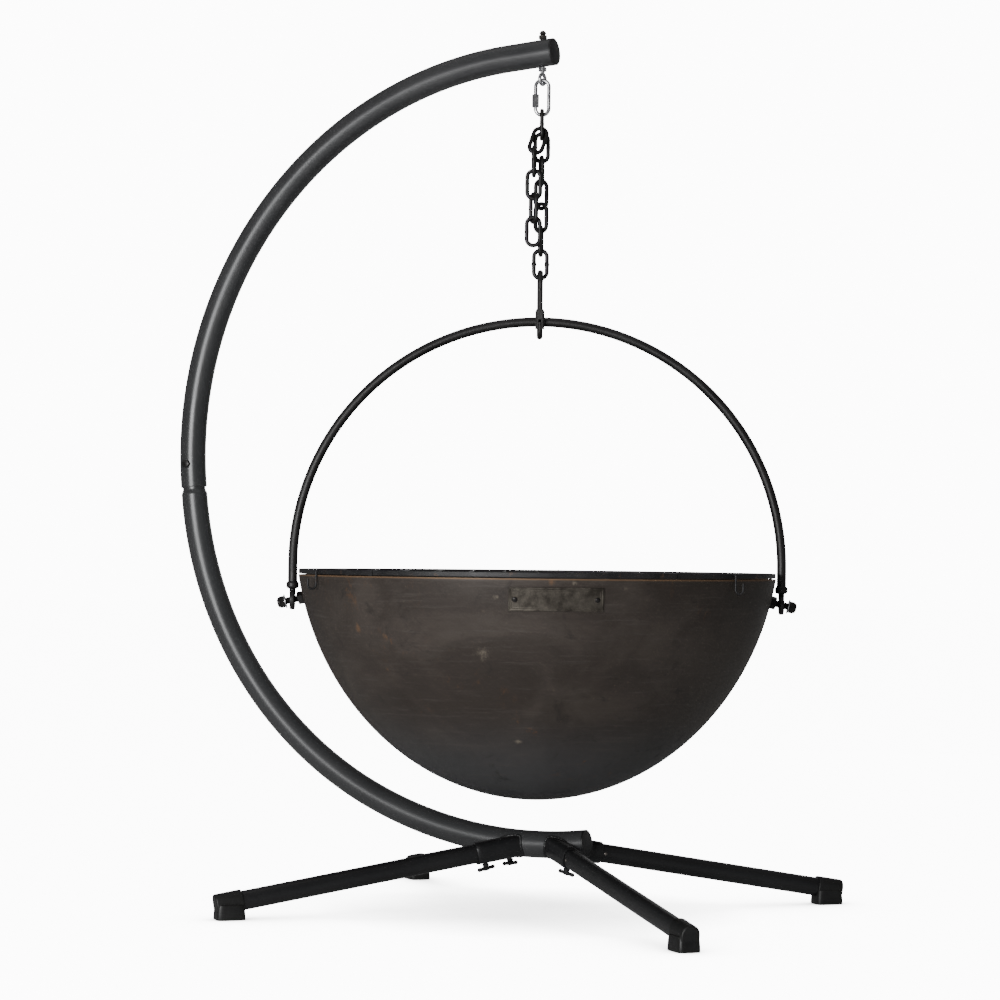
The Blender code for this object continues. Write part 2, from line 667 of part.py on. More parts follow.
# ---------------------------------------------------------------- eye bolt and quick link
def eye_stack():
    """Heights of the eye bolt: tube's underside, lower nut's underside, the eye's centre."""
    middle = on_tip(0.0)
    half = TUBE_RADIUS / math.cos(math.radians(TIP_STRAIGHT_DEG))
    tube_top, tube_bottom = middle.z + half, middle.z - half
    nut_bottom = tube_bottom - SEAT_GAP - NUT_HEIGHT
    eye_centre = nut_bottom - EYE_DROP - EYE_WIRE_RADIUS - EYE_RADIUS
    return tube_top, tube_bottom, nut_bottom, eye_centre


def eye_plane():
    """Horizontal direction of the eye's plane."""
    yaw = math.radians(EYE_YAW_DEG)
    return INTO * math.cos(yaw) + ACROSS * math.sin(yaw)


def make_eye_bolt(zinc, dark_zinc):
    """The eye bolt, the nut under the tube and the acorn nut above it."""
    tube_top, tube_bottom, nut_bottom, eye_z = eye_stack()
    centre = CHAIN_FOOT + UP * eye_z
    plane = eye_plane()
    ring = []
    for k in range(20):
        angle = 2.0 * math.pi * k / 20
        spot = centre + (plane * math.sin(angle) + UP * math.cos(angle)) * EYE_RADIUS
        ring.append((spot, circle(EYE_WIRE_RADIUS, 8)))
    made = sweep("eye_bolt", ring, zinc, plane.cross(UP), closed=True)
    shank_top = tube_top + SEAT_GAP + ACORN_BASE
    shank = bar("shank", CHAIN_FOOT + UP * (eye_z + EYE_RADIUS), CHAIN_FOOT + UP * shank_top,
                circle(BOLT_RADIUS, 12), zinc)
    join(made, shank)
    nut("eye_bolt_lower_nut", CHAIN_FOOT + UP * nut_bottom, UP, NUT_FLATS, NUT_HEIGHT,
        BOLT_RADIUS + GAP, zinc, 0.3)
    base = CHAIN_FOOT + UP * (tube_top + SEAT_GAP)
    acorn = bar("acorn_nut", base, base + UP * ACORN_BASE, hexagon(NUT_FLATS, 0.2), dark_zinc)
    dome_radius = 0.46 * NUT_FLATS
    rise = ACORN_HEIGHT - ACORN_BASE
    profile = [(ACORN_BASE - 0.001, dome_radius), (ACORN_BASE + 0.25 * rise, dome_radius)]
    for k in range(1, 4):
        angle = 0.5 * math.pi * k / 4
        profile.append((ACORN_BASE + rise * (0.25 + 0.75 * math.sin(angle)), dome_radius * math.cos(angle)))
    profile.append((ACORN_HEIGHT, 0.0))
    join(acorn, turned("dome", base, UP, profile, 12, dark_zinc))
    cut(acorn, bar("bore", base - UP * 0.01, base + UP * (ACORN_BASE + 0.001),
                   circle(BOLT_RADIUS + GAP, 12), dark_zinc))
    return made


def quick_top():
    """Height of the quick link's top centre line."""
    eye_z = eye_stack()[3]
    return eye_z - EYE_RADIUS + EYE_WIRE_RADIUS + QUICK_WIRE_RADIUS + LINK_PLAY + GAP


def stadium_point(turn, length, width):
    """Point on a link's centre line: x across, z up, from its middle. turn 0 is the right
    side's middle and 1 is a whole turn to the left; the ends are half circles."""
    radius = 0.5 * width
    straight = length - width
    perimeter = 2.0 * straight + 2.0 * math.pi * radius
    s = (turn % 1.0) * perimeter
    half = 0.5 * straight
    arc = math.pi * radius
    if s < half:
        return radius, s
    if s < half + arc:
        angle = (s - half) / radius
        return radius * math.cos(angle), half + radius * math.sin(angle)
    if s < half + arc + straight:
        return -radius, half - (s - half - arc)
    if s < half + 2.0 * arc + straight:
        angle = (s - half - arc - straight) / radius
        return -radius * math.cos(angle), -half - radius * math.sin(angle)
    return radius, s - perimeter


def make_quick_link(zinc):
    """The quick link's bent rod, open on its left leg, and the sleeve nut that closes it."""
    middle = CHAIN_FOOT + UP * (quick_top() - 0.5 * QUICK_LENGTH)
    perimeter = 2.0 * (QUICK_LENGTH - QUICK_WIDTH) + math.pi * QUICK_WIDTH
    sleeve_turn = 0.5 + SLEEVE_DROP / perimeter
    half_opening = 0.5 * QUICK_OPENING / perimeter
    steps = 28
    stations = []
    for k in range(steps + 1):
        turn = sleeve_turn + half_opening + (1.0 - 2.0 * half_opening) * k / steps
        x, z = stadium_point(turn, QUICK_LENGTH, QUICK_WIDTH)
        stations.append((middle + ACROSS * x + UP * z, circle(QUICK_WIRE_RADIUS, 8)))
    made = sweep("quick_link_body", stations, zinc, INTO)
    left = middle - ACROSS * 0.5 * QUICK_WIDTH - UP * SLEEVE_DROP
    half = UP * 0.5 * SLEEVE_LENGTH
    nut("quick_link_sleeve", left - half, UP, SLEEVE_FLATS, SLEEVE_LENGTH,
        QUICK_WIRE_RADIUS / math.cos(math.pi / 12.0) + SLEEVE_CLEARANCE, zinc, 0.1)
    set_origin(made, CHAIN_FOOT + UP * (eye_stack()[3] - EYE_RADIUS))
    return made


# ---------------------------------------------------------------- chain
def link_mesh(name, top, down, width_direction, steel):
    """One welded link hung from its top centre-line point, with small weld beads."""
    down = Vector(down).normalized()
    wide = Vector(width_direction)
    wide = (wide - down * wide.dot(down)).normalized()
    middle = Vector(top) + down * 0.5 * LINK_LENGTH
    stations = []
    turns = []
    perimeter = 2.0 * (LINK_LENGTH - LINK_WIDTH) + math.pi * LINK_WIDTH
    quarter = 0.5 * (LINK_LENGTH - LINK_WIDTH) / perimeter
    step = (0.5 - 2.0 * quarter) / 6.0
    for base in (0.0, 0.5):
        turns += [base + quarter + step * k for k in range(7)]
    for turn in turns:
        x, z = stadium_point(turn, LINK_LENGTH, LINK_WIDTH)
        stations.append((middle + wide * x - down * z, circle(LINK_WIRE_RADIUS, 8)))
    made = sweep(name, stations, steel, wide.cross(down), closed=True)
    set_origin(made, top)
    return made


def twisted(degrees):
    """Horizontal direction turned from INTO towards ACROSS."""
    angle = math.radians(degrees)
    return INTO * math.cos(angle) + ACROSS * math.sin(angle)


def top_link_height():
    """Height of the top link's upper centre line."""
    return quick_top() - QUICK_LENGTH + QUICK_WIRE_RADIUS + LINK_WIRE_RADIUS + LINK_PLAY


def main_link_height(index):
    """Height of a main link's upper centre line; 0 is the top link."""
    pitch = LINK_LENGTH - 2.0 * LINK_WIRE_RADIUS - LINK_PLAY
    return top_link_height() - index * pitch


def tail_tops():
    """Upper centre-line points of the five tail links and the first one's direction."""
    origin = CHAIN_FOOT + UP * top_link_height()
    wire = LINK_WIRE_RADIUS
    first = origin + (ACROSS * TAIL_TOP[0] + INTO * TAIL_TOP[1] + UP * TAIL_TOP[2]) * wire
    run_across = (TAIL_LEAN[0] - TAIL_TOP[0]) * wire
    run_into = (TAIL_LEAN[1] - TAIL_TOP[1]) * wire
    fall = math.sqrt(LINK_LENGTH ** 2 - run_across ** 2 - run_into ** 2)
    lean = ACROSS * run_across + INTO * run_into - UP * fall
    tops = [first, first + lean + UP * (2.0 + TAIL_PLAY) * wire]
    for _ in range(3):
        tops.append(tops[-1] - UP * (LINK_LENGTH - 2.0 * LINK_WIRE_RADIUS - LINK_PLAY))
    return tops, lean.normalized()


def make_chain(steel):
    """The main strand under the quick link and the free tail beside it."""
    names = ["chain_top_link"] + ["chain_link_%d" % k for k in range(1, len(MAIN_TWISTS_DEG))]
    for index, name in enumerate(names):
        top = CHAIN_FOOT + UP * main_link_height(index)
        link_mesh(name, top, -UP, twisted(MAIN_TWISTS_DEG[index]), steel)
    tops, lean = tail_tops()
    link_mesh("chain_tail_link_1", tops[0], lean, ACROSS, steel)
    for index, degrees in enumerate(TAIL_TWISTS_DEG):
        link_mesh("chain_tail_link_%d" % (index + 2), tops[index + 1], -UP, twisted(degrees), steel)


# ---------------------------------------------------------------- snap hook
def hook_top():
    """Height of the hook's upper centre line, inside the last link."""
    last = main_link_height(len(MAIN_TWISTS_DEG) - 1)
    return last - LINK_LENGTH + LINK_WIRE_RADIUS + HOOK_WIRE_RADIUS + LINK_PLAY


def hook_outline():
    """Sizes of the hook's pear shape: its slope and the heights of both end circles."""
    top_centre = hook_top() - HOOK_TOP_RADIUS
    seat_centre = hook_top() - HOOK_LENGTH + HOOK_SEAT_RADIUS
    slope = math.asin((HOOK_TOP_RADIUS - HOOK_SEAT_RADIUS) / (top_centre - seat_centre))
    return slope, top_centre, seat_centre


def bail_top():
    """Height of the bail rod's middle where it lies in the hook."""
    slope, _, seat_centre = hook_outline()
    need = BAIL_ROD_RADIUS + max(HOOK_WIRE_RADIUS, GATE_RADIUS) + GAP - HOOK_SEAT_RADIUS
    return seat_centre + (need / math.sin(slope) if need > 0.0 else need)


def hook_side(height):
    """Distance of the hook's side centre line from the chain line, at a height."""
    slope, _, seat_centre = hook_outline()
    reach = HOOK_SEAT_RADIUS + (height - seat_centre) * math.sin(slope)
    return reach / math.cos(slope)


def hook_place(out, height, twist):
    """World point at a distance towards the gate's side and a height."""
    return CHAIN_FOOT + twist * out + UP * height


def make_hook(steel):
    """The snap hook's bent body, its gate and the gate's pin."""
    slope, top_centre, seat_centre = hook_outline()
    side = twisted(HOOK_TWIST_DEG)          # the gate is on this side of the chain line
    cross = side.cross(UP)
    pin_height = bail_top() - GATE_PIN_DROP
    gate_top = top_centre - 0.006
    section = circle(HOOK_WIRE_RADIUS, 8, math.pi / 8.0)
    stations = []

    def arc_points(centre, radius, start, end, steps):
        for k in range(steps + 1):
            angle = start + (end - start) * k / steps
            stations.append((hook_place(radius * math.cos(angle), centre + radius * math.sin(angle), side),
                             section))

    low = seat_centre - 0.002
    stations.append((hook_place(hook_side(low), low, side), section))
    arc_points(seat_centre, HOOK_SEAT_RADIUS, -0.25, slope - math.pi, 7)
    arc_points(top_centre, HOOK_TOP_RADIUS, math.pi, 0.30, 8)
    stations.append((hook_place(hook_side(top_centre + 0.002), top_centre + 0.002, side), section))
    body = sweep("snap_hook_body", stations, steel, cross)
    lean = (hook_place(hook_side(gate_top), gate_top, side)
            - hook_place(hook_side(pin_height), pin_height, side)).normalized()
    pin = hook_place(hook_side(pin_height), pin_height, side)
    thin, deep = 0.5 * TONGUE_THICK, 0.5 * TONGUE_DEPTH
    flat = [(thin, deep), (thin, -deep), (-thin, -deep), (-thin, deep)]
    join(body, bar("lower_tongue", hook_place(hook_side(low), low, side) - lean * 0.004,
                   pin + lean * 0.0045, flat, steel, cross))
    nose = hook_place(hook_side(top_centre + 0.002), top_centre + 0.002, side)
    join(body, bar("nose_tongue", nose + lean * 0.003, nose - lean * GATE_NOSE_LENGTH, flat, steel, cross))
    hole = circle(GATE_PIN_RADIUS + GAP, 8)
    wide = cross * 0.5 * GATE_BLOCK_WIDTH
    cut(body, bar("pin_hole", pin - wide, pin + wide, hole, steel, UP))

    end_gap = GATE_END_SHARE * GATE_RADIUS
    start = hook_place(hook_side(low), low, side) + lean * end_gap
    end = nose - lean * end_gap
    gate = bar("snap_hook_gate", start + lean * 0.004, end, circle(GATE_RADIUS, 10), steel, cross)
    half = 0.5 * GATE_BLOCK_WIDTH
    block = [(half, -GATE_RADIUS), (half, 0.0035), (half - 0.003, 0.0055), (0.003 - half, 0.0055),
             (-half, 0.0035), (-half, -GATE_RADIUS)]
    length = GATE_BLOCK_LENGTH
    narrow = [(0.72 * u, 0.9 * v) for u, v in block]
    join(gate, sweep("cheeks", [(start, block), (start + lean * (length - 0.004), block),
                                (start + lean * length, narrow)], steel, cross))
    slot = 0.5 * TONGUE_THICK + TONGUE_CLEARANCE
    deep = 2.0 * GATE_RADIUS + 0.0008
    lower_slot = [(slot, deep), (slot, -deep), (-slot, -deep), (-slot, deep)]
    cut(gate, bar("lower_slot", start - lean * 0.002, pin + lean * 0.0075, lower_slot, steel, cross))
    cut(gate, bar("nose_slot", nose - lean * (GATE_NOSE_LENGTH + 0.0015), end + lean * 0.004,
                  lower_slot, steel, cross))
    cut(gate, bar("pin_hole", pin - wide * 2.0, pin + wide * 2.0, hole, steel, UP))
    set_origin(gate, pin)
    bar("snap_hook_pin", pin - wide, pin + wide, circle(GATE_PIN_RADIUS, 8), steel, UP)


# ---------------------------------------------------------------- bail
def pivot_height():
    """Height of the axis that the bowl tilts about."""
    return bail_top() - BAIL_RADIUS - BAIL_LEG


def make_bail(steel):
    """The bent rod with a forged collar and a flat eye at each end, as one piece."""
    centre_z = bail_top() - BAIL_RADIUS
    low = pivot_height()
    sides = 8
    full = circle(BAIL_ROD_RADIUS, sides)
    stations = []

    def end_stations(sign):
        """From the eye up to the start of the half circle."""
        foot = CHAIN_FOOT + ACROSS * (sign * BAIL_RADIUS)
        collar = low + BAIL_COLLAR_RISE
        neck = [(u * 0.62, v * 0.62) for u, v in full]
        rows = [(low + 0.010, neck), (collar - 0.001, neck),
                (collar, circle(BAIL_COLLAR_RADIUS * 0.85, sides)),
                (collar + 0.2 * BAIL_COLLAR_HEIGHT, circle(BAIL_COLLAR_RADIUS, sides)),
                (collar + 0.6 * BAIL_COLLAR_HEIGHT, circle(BAIL_COLLAR_RADIUS * 0.94, sides)),
                (collar + BAIL_COLLAR_HEIGHT, full)]
        return [(foot + UP * z, outline) for z, outline in rows]

    stations += end_stations(1.0)
    steps = 30
    for k in range(steps + 1):
        angle = math.pi * k / steps
        spot = CHAIN_FOOT + ACROSS * BAIL_RADIUS * math.cos(angle)
        stations.append((spot + UP * (centre_z + BAIL_RADIUS * math.sin(angle)), full))
    stations += end_stations(-1.0)[::-1]
    made = sweep("bail", stations, steel, INTO)
    for sign in (1.0, -1.0):
        middle = CHAIN_FOOT + ACROSS * (sign * BAIL_RADIUS) + UP * low
        half = ACROSS * 0.5 * BAIL_EYE_THICK
        join(made, bar("eye", middle - half, middle + half, circle(BAIL_EYE_RADIUS, 16), steel, UP))
        cut(made, bar("eye_hole", middle - half * 2.0, middle + half * 2.0,
                      circle(BAIL_EYE_HOLE_RADIUS, 12), steel, UP))
    set_origin(made, CHAIN_FOOT + UP * bail_top())
    return made


# ---------------------------------------------------------------- bowl and pivots
def rim_height():
    """Height of the bowl's rim."""
    return pivot_height() + PIVOT_BELOW_RIM


def wall_rows(inset=0.0):
    """Radius and height of the bowl's rows of corners, rim first; inset gives the inside."""
    across, drop = BOWL_RADIUS - inset, BOWL_DROP - inset
    start = math.asin(RIM_BELOW_WIDEST / drop)
    rows = []
    for k in range(BOWL_ROWS + 1):
        angle = start + (0.5 * math.pi - start) * k / BOWL_ROWS
        rows.append((across * math.cos(angle), rim_height() + RIM_BELOW_WIDEST - drop * math.sin(angle)))
    return rows


def wall_facet(height):
    """The two rows of corners above and below a height on the outside of the wall."""
    rows = wall_rows()
    for high, low in zip(rows[:-1], rows[1:]):
        if height >= low[1]:
            return high, low
    return rows[-2], rows[-1]


def wall_radius(height):
    """Radius of the outside of the wall at a height, at its corners."""
    high, low = wall_facet(height)
    return high[0] + (low[0] - high[0]) * (height - high[1]) / (low[1] - high[1])


def wall_fall(height):
    """Angle of the wall's outward normal below the horizontal."""
    high, low = wall_facet(height)
    return math.atan2(high[0] - low[0], high[1] - low[1])


def pivot_line(sign):
    """The pivot bolt's point on the tilt axis, its outward direction and the distance back
    to the wall: the bolt is square to the wall and passes through the middle of the eye."""
    axis_point = CHAIN_FOOT + ACROSS * (sign * BAIL_RADIUS) + UP * pivot_height()
    flat = math.cos(math.pi / BOWL_SEGMENTS)
    height = pivot_height()
    for _ in range(8):
        fall = wall_fall(height)
        height = pivot_height() + (BAIL_RADIUS - wall_radius(height) * flat) * math.tan(fall)
    outward = ACROSS * (sign * math.cos(fall)) - UP * math.sin(fall)
    back = (BAIL_RADIUS - wall_radius(height) * flat) / math.cos(fall)
    return axis_point, outward, back


def rivet_lines():
    """Wall point and outward direction of the nameplate's two rivets."""
    lines = []
    height = rim_height() - PLATE_BELOW_RIM - 0.5 * PLATE_HEIGHT
    radius, fall = wall_radius(height), wall_fall(height)
    spread = (0.5 * PLATE_WIDTH - RIVET_FROM_END) / radius
    for sign in (-1.0, 1.0):
        out = plan_from_front(math.radians(PLATE_YAW_DEG) + sign * spread)
        lines.append((CHAIN_FOOT + out * radius + UP * height, out * math.cos(fall) - UP * math.sin(fall)))
    return lines


def plan_from_front(angle):
    """Horizontal direction at an angle from the bowl's front towards ACROSS."""
    return ACROSS * math.sin(angle) - INTO * math.cos(angle)


def make_bowl(steel):
    """The dished bowl, a shell of even thickness, with holes for its bolts and rivets."""
    segments = BOWL_SEGMENTS
    vertices, faces, layers = [], [], []
    for inset in (0.0, BOWL_WALL):
        layer = []
        for radius, height in wall_rows(inset)[:-1]:
            ring = []
            for k in range(segments):
                out = plan_from_front(2.0 * math.pi * (k + 0.5) / segments)
                ring.append(len(vertices))
                vertices.append(CHAIN_FOOT + out * radius + UP * height)
            layer.append(ring)
        layer.append([len(vertices)] * segments)
        vertices.append(CHAIN_FOOT + UP * wall_rows(inset)[-1][1])
        layers.append(layer)
    for layer in layers:
        for low, high in zip(layer[:-1], layer[1:]):
            for k in range(segments):
                n = (k + 1) % segments
                corners = [low[k], low[n], high[n]]
                if high[k] != high[n]:
                    corners.append(high[k])
                faces.append(corners)
    for k in range(segments):
        n = (k + 1) % segments
        faces.append((layers[0][0][k], layers[0][0][n], layers[1][0][n], layers[1][0][k]))
    made = new_object("bowl", vertices, faces, steel)
    for sign in (1.0, -1.0):
        axis_point, outward, back = pivot_line(sign)
        wall = axis_point - outward * back
        cut(made, bar("bolt_hole", wall - outward * 0.02, wall + outward * 0.01,
                      circle(PIVOT_BOLT_RADIUS + 2.0 * GAP, 12), steel))
    for wall, outward in rivet_lines():
        cut(made, bar("rivet_hole", wall - outward * 0.01, wall + outward * 0.01,
                      circle(RIVET_RADIUS + GAP, 8), steel))
    set_origin(made, CHAIN_FOOT + UP * pivot_height())
    return made


def make_pivots(steel, zinc):
    """On each side: the bolt from inside the wall, inner nut, washer and lock nut."""
    for sign, side in ((-1.0, "left"), (1.0, "right")):
        axis_point, outward, back = pivot_line(sign)
        wall = axis_point - outward * back
        inside = wall - outward * (BOWL_WALL + 2.0 * GAP)
        washer_at = axis_point + outward * PIVOT_WASHER_OUT
        lock_at = washer_at + outward * (PIVOT_WASHER_THICK + GAP)
        end = lock_at + outward * (PIVOT_LOCK_NUT_HEIGHT + 0.0012)
        bolt = bar("pivot_bolt_" + side, inside - outward * PIVOT_HEAD_HEIGHT, inside,
                   hexagon(PIVOT_NUT_FLATS), steel)
        join(bolt, bar("shank", inside - outward * 0.001, end, circle(PIVOT_BOLT_RADIUS, 16), steel))
        set_origin(bolt, axis_point)
        bore = PIVOT_BOLT_RADIUS + 2.0 * GAP
        nut("pivot_inner_nut_" + side, wall + outward * 2.0 * GAP, outward, PIVOT_NUT_FLATS,
            PIVOT_NUT_HEIGHT, bore, steel, 0.35)
        washer("pivot_washer_" + side, washer_at, outward, PIVOT_WASHER_RADIUS, bore,
               PIVOT_WASHER_THICK, zinc)
        nut("pivot_lock_nut_" + side, lock_at, outward, PIVOT_NUT_FLATS, PIVOT_LOCK_NUT_HEIGHT,
            bore, steel, 0.1)


def make_nameplate(steel):
    """A plain plate rolled to the wall, with a raised border, and its two rivets."""
    top = rim_height() - PLATE_BELOW_RIM
    segments = 24
    border_u = PLATE_BORDER / PLATE_WIDTH
    border_v = PLATE_BORDER / PLATE_HEIGHT
    inner_u = [border_u + (1.0 - 2.0 * border_u) * k / (segments - 2) for k in range(segments - 1)]
    across = [0.0, 0.8 * border_u] + inner_u + [1.0 - 0.8 * border_u, 1.0]
    upward = [0.0, 0.8 * border_v, border_v, 0.5, 1.0 - border_v, 1.0 - 0.8 * border_v, 1.0]
    seat = GAP
    vertices, layers = [], []
    for front in (False, True):
        layer = []
        for v in upward:
            row = []
            height = top - PLATE_HEIGHT * (1.0 - v) * math.cos(wall_fall(top))
            radius, fall = wall_radius(height), wall_fall(height)
            for u in across:
                raised = min(u, 1.0 - u) < 0.9 * border_u or min(v, 1.0 - v) < 0.9 * border_v
                lift = seat + (PLATE_THICK + (PLATE_BORDER_RISE if raised else 0.0) if front else 0.0)
                angle = math.radians(PLATE_YAW_DEG) + (u - 0.5) * PLATE_WIDTH / radius
                out = plan_from_front(angle)
                row.append(len(vertices))
                vertices.append(CHAIN_FOOT + out * (radius + lift * math.cos(fall))
                                + UP * (height - lift * math.sin(fall)))
            layer.append(row)
        layers.append(layer)
    faces = []
    rows, columns = len(upward), len(across)
    for layer in layers:
        for j in range(rows - 1):
            for i in range(columns - 1):
                faces.append((layer[j][i], layer[j][i + 1], layer[j + 1][i + 1], layer[j + 1][i]))
    back, face = layers
    for i in range(columns - 1):
        for j in (0, rows - 1):
            faces.append((back[j][i], back[j][i + 1], face[j][i + 1], face[j][i]))
    for j in range(rows - 1):
        for i in (0, columns - 1):
            faces.append((back[j][i], back[j + 1][i], face[j + 1][i], face[j][i]))
    made = new_object("nameplate", vertices, faces, steel)
    for index, (wall, outward) in enumerate(rivet_lines()):
        cut(made, bar("rivet_hole", wall - outward * 0.004, wall + outward * 0.01,
                      circle(RIVET_RADIUS + GAP, 8), steel))
        seat_out = seat + PLATE_THICK + 2.0 * GAP
        profile = [(-BOWL_WALL - 0.002, RIVET_RADIUS), (seat_out, RIVET_RADIUS),
                   (seat_out, RIVET_HEAD_RADIUS), (seat_out + 0.55 * RIVET_HEAD_HEIGHT, RIVET_HEAD_RADIUS * 0.85),
                   (seat_out + RIVET_HEAD_HEIGHT, RIVET_HEAD_RADIUS * 0.35)]
        turned("nameplate_rivet_" + ("left", "right")[index], wall, outward, profile, 10, steel)


# ---------------------------------------------------------------- grate
def make_grate(steel):
    """A ring of flat bar on six small feet, parallel bars on two cross rods, and three wire
    hooks that hang over the rim."""
    rim = rim_height()
    outer = wall_radius(rim) - RING_INSET
    base = rim + GAP + RING_FEET_HEIGHT
    half, thick = 0.5 * RING_HEIGHT, 0.5 * RING_THICK
    section = [(half, -thick), (half, thick), (-half, thick), (-half, -thick)]
    middle_radius = outer - thick
    ring = []
    segments = BOWL_SEGMENTS
    for k in range(segments):
        out = plan_from_front(2.0 * math.pi * (k + 0.5) / segments)
        ring.append((CHAIN_FOOT + out * middle_radius + UP * (base + half), section))
    made = sweep("grate", ring, steel, UP, closed=True)
    for degrees in RING_FEET_DEG:
        out = plan_from_front(math.radians(degrees))
        along = out.cross(UP) * 0.5 * RING_FOOT_LENGTH
        spot = CHAIN_FOOT + out * (middle_radius - 0.0005) + UP * (base + 0.5 * (0.001 - RING_FEET_HEIGHT))
        tall = 0.5 * (RING_FEET_HEIGHT + 0.001)
        deep = 0.7 * thick
        join(made, bar("foot", spot - along, spot + along,
                       [(tall, -deep), (tall, deep), (-tall, deep), (-tall, -deep)], steel, UP))
    cross_z = base + GRATE_CROSS_RADIUS * math.cos(0.25 * math.pi)
    for sign in (-1.0, 1.0):
        offset = INTO * (sign * GRATE_CROSS_OFFSET)
        reach = math.sqrt(middle_radius ** 2 - GRATE_CROSS_OFFSET ** 2)
        middle = CHAIN_FOOT + UP * cross_z + offset
        join(made, bar("cross", middle - ACROSS * reach, middle + ACROSS * reach,
                       circle(GRATE_CROSS_RADIUS, 4, 0.25 * math.pi), steel, UP))
    bar_z = base + RING_HEIGHT - GRATE_BAR_RADIUS
    each_side = int((middle_radius - GRATE_END_SPACE) / GRATE_BAR_PITCH)
    for k in range(-each_side, each_side + 1):
        offset = k * GRATE_BAR_PITCH
        reach = math.sqrt(middle_radius ** 2 - offset ** 2)
        middle = CHAIN_FOOT + UP * bar_z + ACROSS * offset
        join(made, bar("bar", middle - INTO * reach, middle + INTO * reach,
                       circle(GRATE_BAR_RADIUS, 4), steel, UP))
    for degrees in GRATE_HOOK_DEG:
        join(made, rim_hook(degrees, outer, base, steel))
    set_origin(made, CHAIN_FOOT + UP * rim)
    return made


def rim_hook(degrees, outer, base, steel):
    """A wire hook welded to the ring's outside: over the rim, down outside the wall, and
    curled outward and up to a free end."""
    rim = rim_height()
    out = plan_from_front(math.radians(degrees))
    half = 0.5 * GRATE_HOOK_WIDTH
    stand = wall_radius(rim) + GRATE_HOOK_CLEARANCE + GRATE_HOOK_WIRE
    section = circle(GRATE_HOOK_WIRE, 6)
    low = rim - GRATE_HOOK_DROP + half
    high = base + 0.72 * RING_HEIGHT
    path = [(outer - 0.001, high), (stand - 0.001, high - 0.0015), (stand, high - 0.006), (stand, low)]
    for k in range(1, 6):
        angle = math.pi * k / 6
        path.append((stand + half - half * math.cos(angle), low - half * math.sin(angle)))
    path += [(stand + 2.0 * half, low), (stand + 2.0 * half, rim - GRATE_HOOK_END_DROP)]
    stations = [(CHAIN_FOOT + out * r + UP * z, section) for r, z in path]
    return sweep("rim_hook", stations, steel, out.cross(UP))


# ---------------------------------------------------------------- the whole object
def build():
    """Clear the scene and make every piece."""
    for old in list(bpy.data.objects):
        bpy.data.objects.remove(old, do_unlink=True)
    satin_paint = finish("satin_charcoal_paint", (0.035, 0.036, 0.038), 0.38, 0.3)
    black_paint = finish("black_paint", (0.012, 0.012, 0.013), 0.42, 0.2)
    black_steel = finish("blackened_steel", (0.015, 0.014, 0.014), 0.5, 0.6)
    raw_steel = finish("raw_steel", (0.075, 0.065, 0.058), 0.55, 0.8)
    zinc = finish("zinc", (0.55, 0.55, 0.56), 0.35, 0.9)
    dark_zinc = finish("dark_zinc", (0.20, 0.19, 0.18), 0.4, 0.8)
    plastic = finish("black_plastic", (0.01, 0.01, 0.01), 0.45, 0.0)
    rubber = finish("foot_rubber", (0.012, 0.012, 0.012), 0.6, 0.0)

    make_upper_tube(satin_paint)
    make_lower_tube(satin_paint)
    make_joint_bolt(black_steel)
    tip = on_tip(TIP_OVERHANG)
    make_plug("tip_plug", tip, tip_direction(), plastic)
    path = lower_path()[0]
    make_plug("hub_plug", path[-1], path[-1] - path[-2], plastic)

    for corner, side_x, side_y in (("front_left", -1, -1), ("front_right", 1, -1),
                                   ("back_left", -1, 1), ("back_right", 1, 1)):
        make_socket(corner, side_x, side_y, black_paint)
        make_leg(corner, side_x, side_y, black_paint)
        make_foot(corner, side_x, side_y, rubber)
        make_clamp(corner, side_x, side_y, plastic)

    make_eye_bolt(zinc, dark_zinc)
    make_quick_link(zinc)
    make_chain(black_steel)
    make_hook(black_steel)
    make_bail(black_steel)
    make_bowl(raw_steel)
    make_pivots(black_steel, zinc)
    make_nameplate(raw_steel)
    make_grate(black_steel)


build()
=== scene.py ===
"""A hanging fire bowl on a bent tube stand: the finished surfaces and their materials.

Each section below makes one piece of the object, or one group of like pieces, in the order in
which the object is put together: hoop, legs, hanger, bail, bowl and grate.
"""
import json
import math

import bmesh
import bpy
import numpy as np
from mathutils import Matrix, Vector


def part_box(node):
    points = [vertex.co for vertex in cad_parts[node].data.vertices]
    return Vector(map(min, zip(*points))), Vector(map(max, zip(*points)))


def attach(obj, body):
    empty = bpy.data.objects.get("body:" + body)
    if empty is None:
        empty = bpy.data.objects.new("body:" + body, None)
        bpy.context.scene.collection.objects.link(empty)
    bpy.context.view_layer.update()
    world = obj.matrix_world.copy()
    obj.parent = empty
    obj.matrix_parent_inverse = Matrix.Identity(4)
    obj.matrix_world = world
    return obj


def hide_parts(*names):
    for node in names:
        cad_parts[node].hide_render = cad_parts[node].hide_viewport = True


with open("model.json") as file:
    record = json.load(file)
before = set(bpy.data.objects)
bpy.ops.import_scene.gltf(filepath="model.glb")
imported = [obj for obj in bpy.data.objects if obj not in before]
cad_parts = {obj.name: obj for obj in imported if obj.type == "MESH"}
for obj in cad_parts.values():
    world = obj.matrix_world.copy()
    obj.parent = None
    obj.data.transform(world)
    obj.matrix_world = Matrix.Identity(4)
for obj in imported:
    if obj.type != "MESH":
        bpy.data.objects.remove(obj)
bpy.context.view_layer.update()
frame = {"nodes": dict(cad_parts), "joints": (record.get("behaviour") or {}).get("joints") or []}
joint_at = {j["name"]: np.array(j.get("pos_m", (0.0, 0.0, 0.0))) for j in frame["joints"]}
UP = np.array((0.0, 0.0, 1.0))


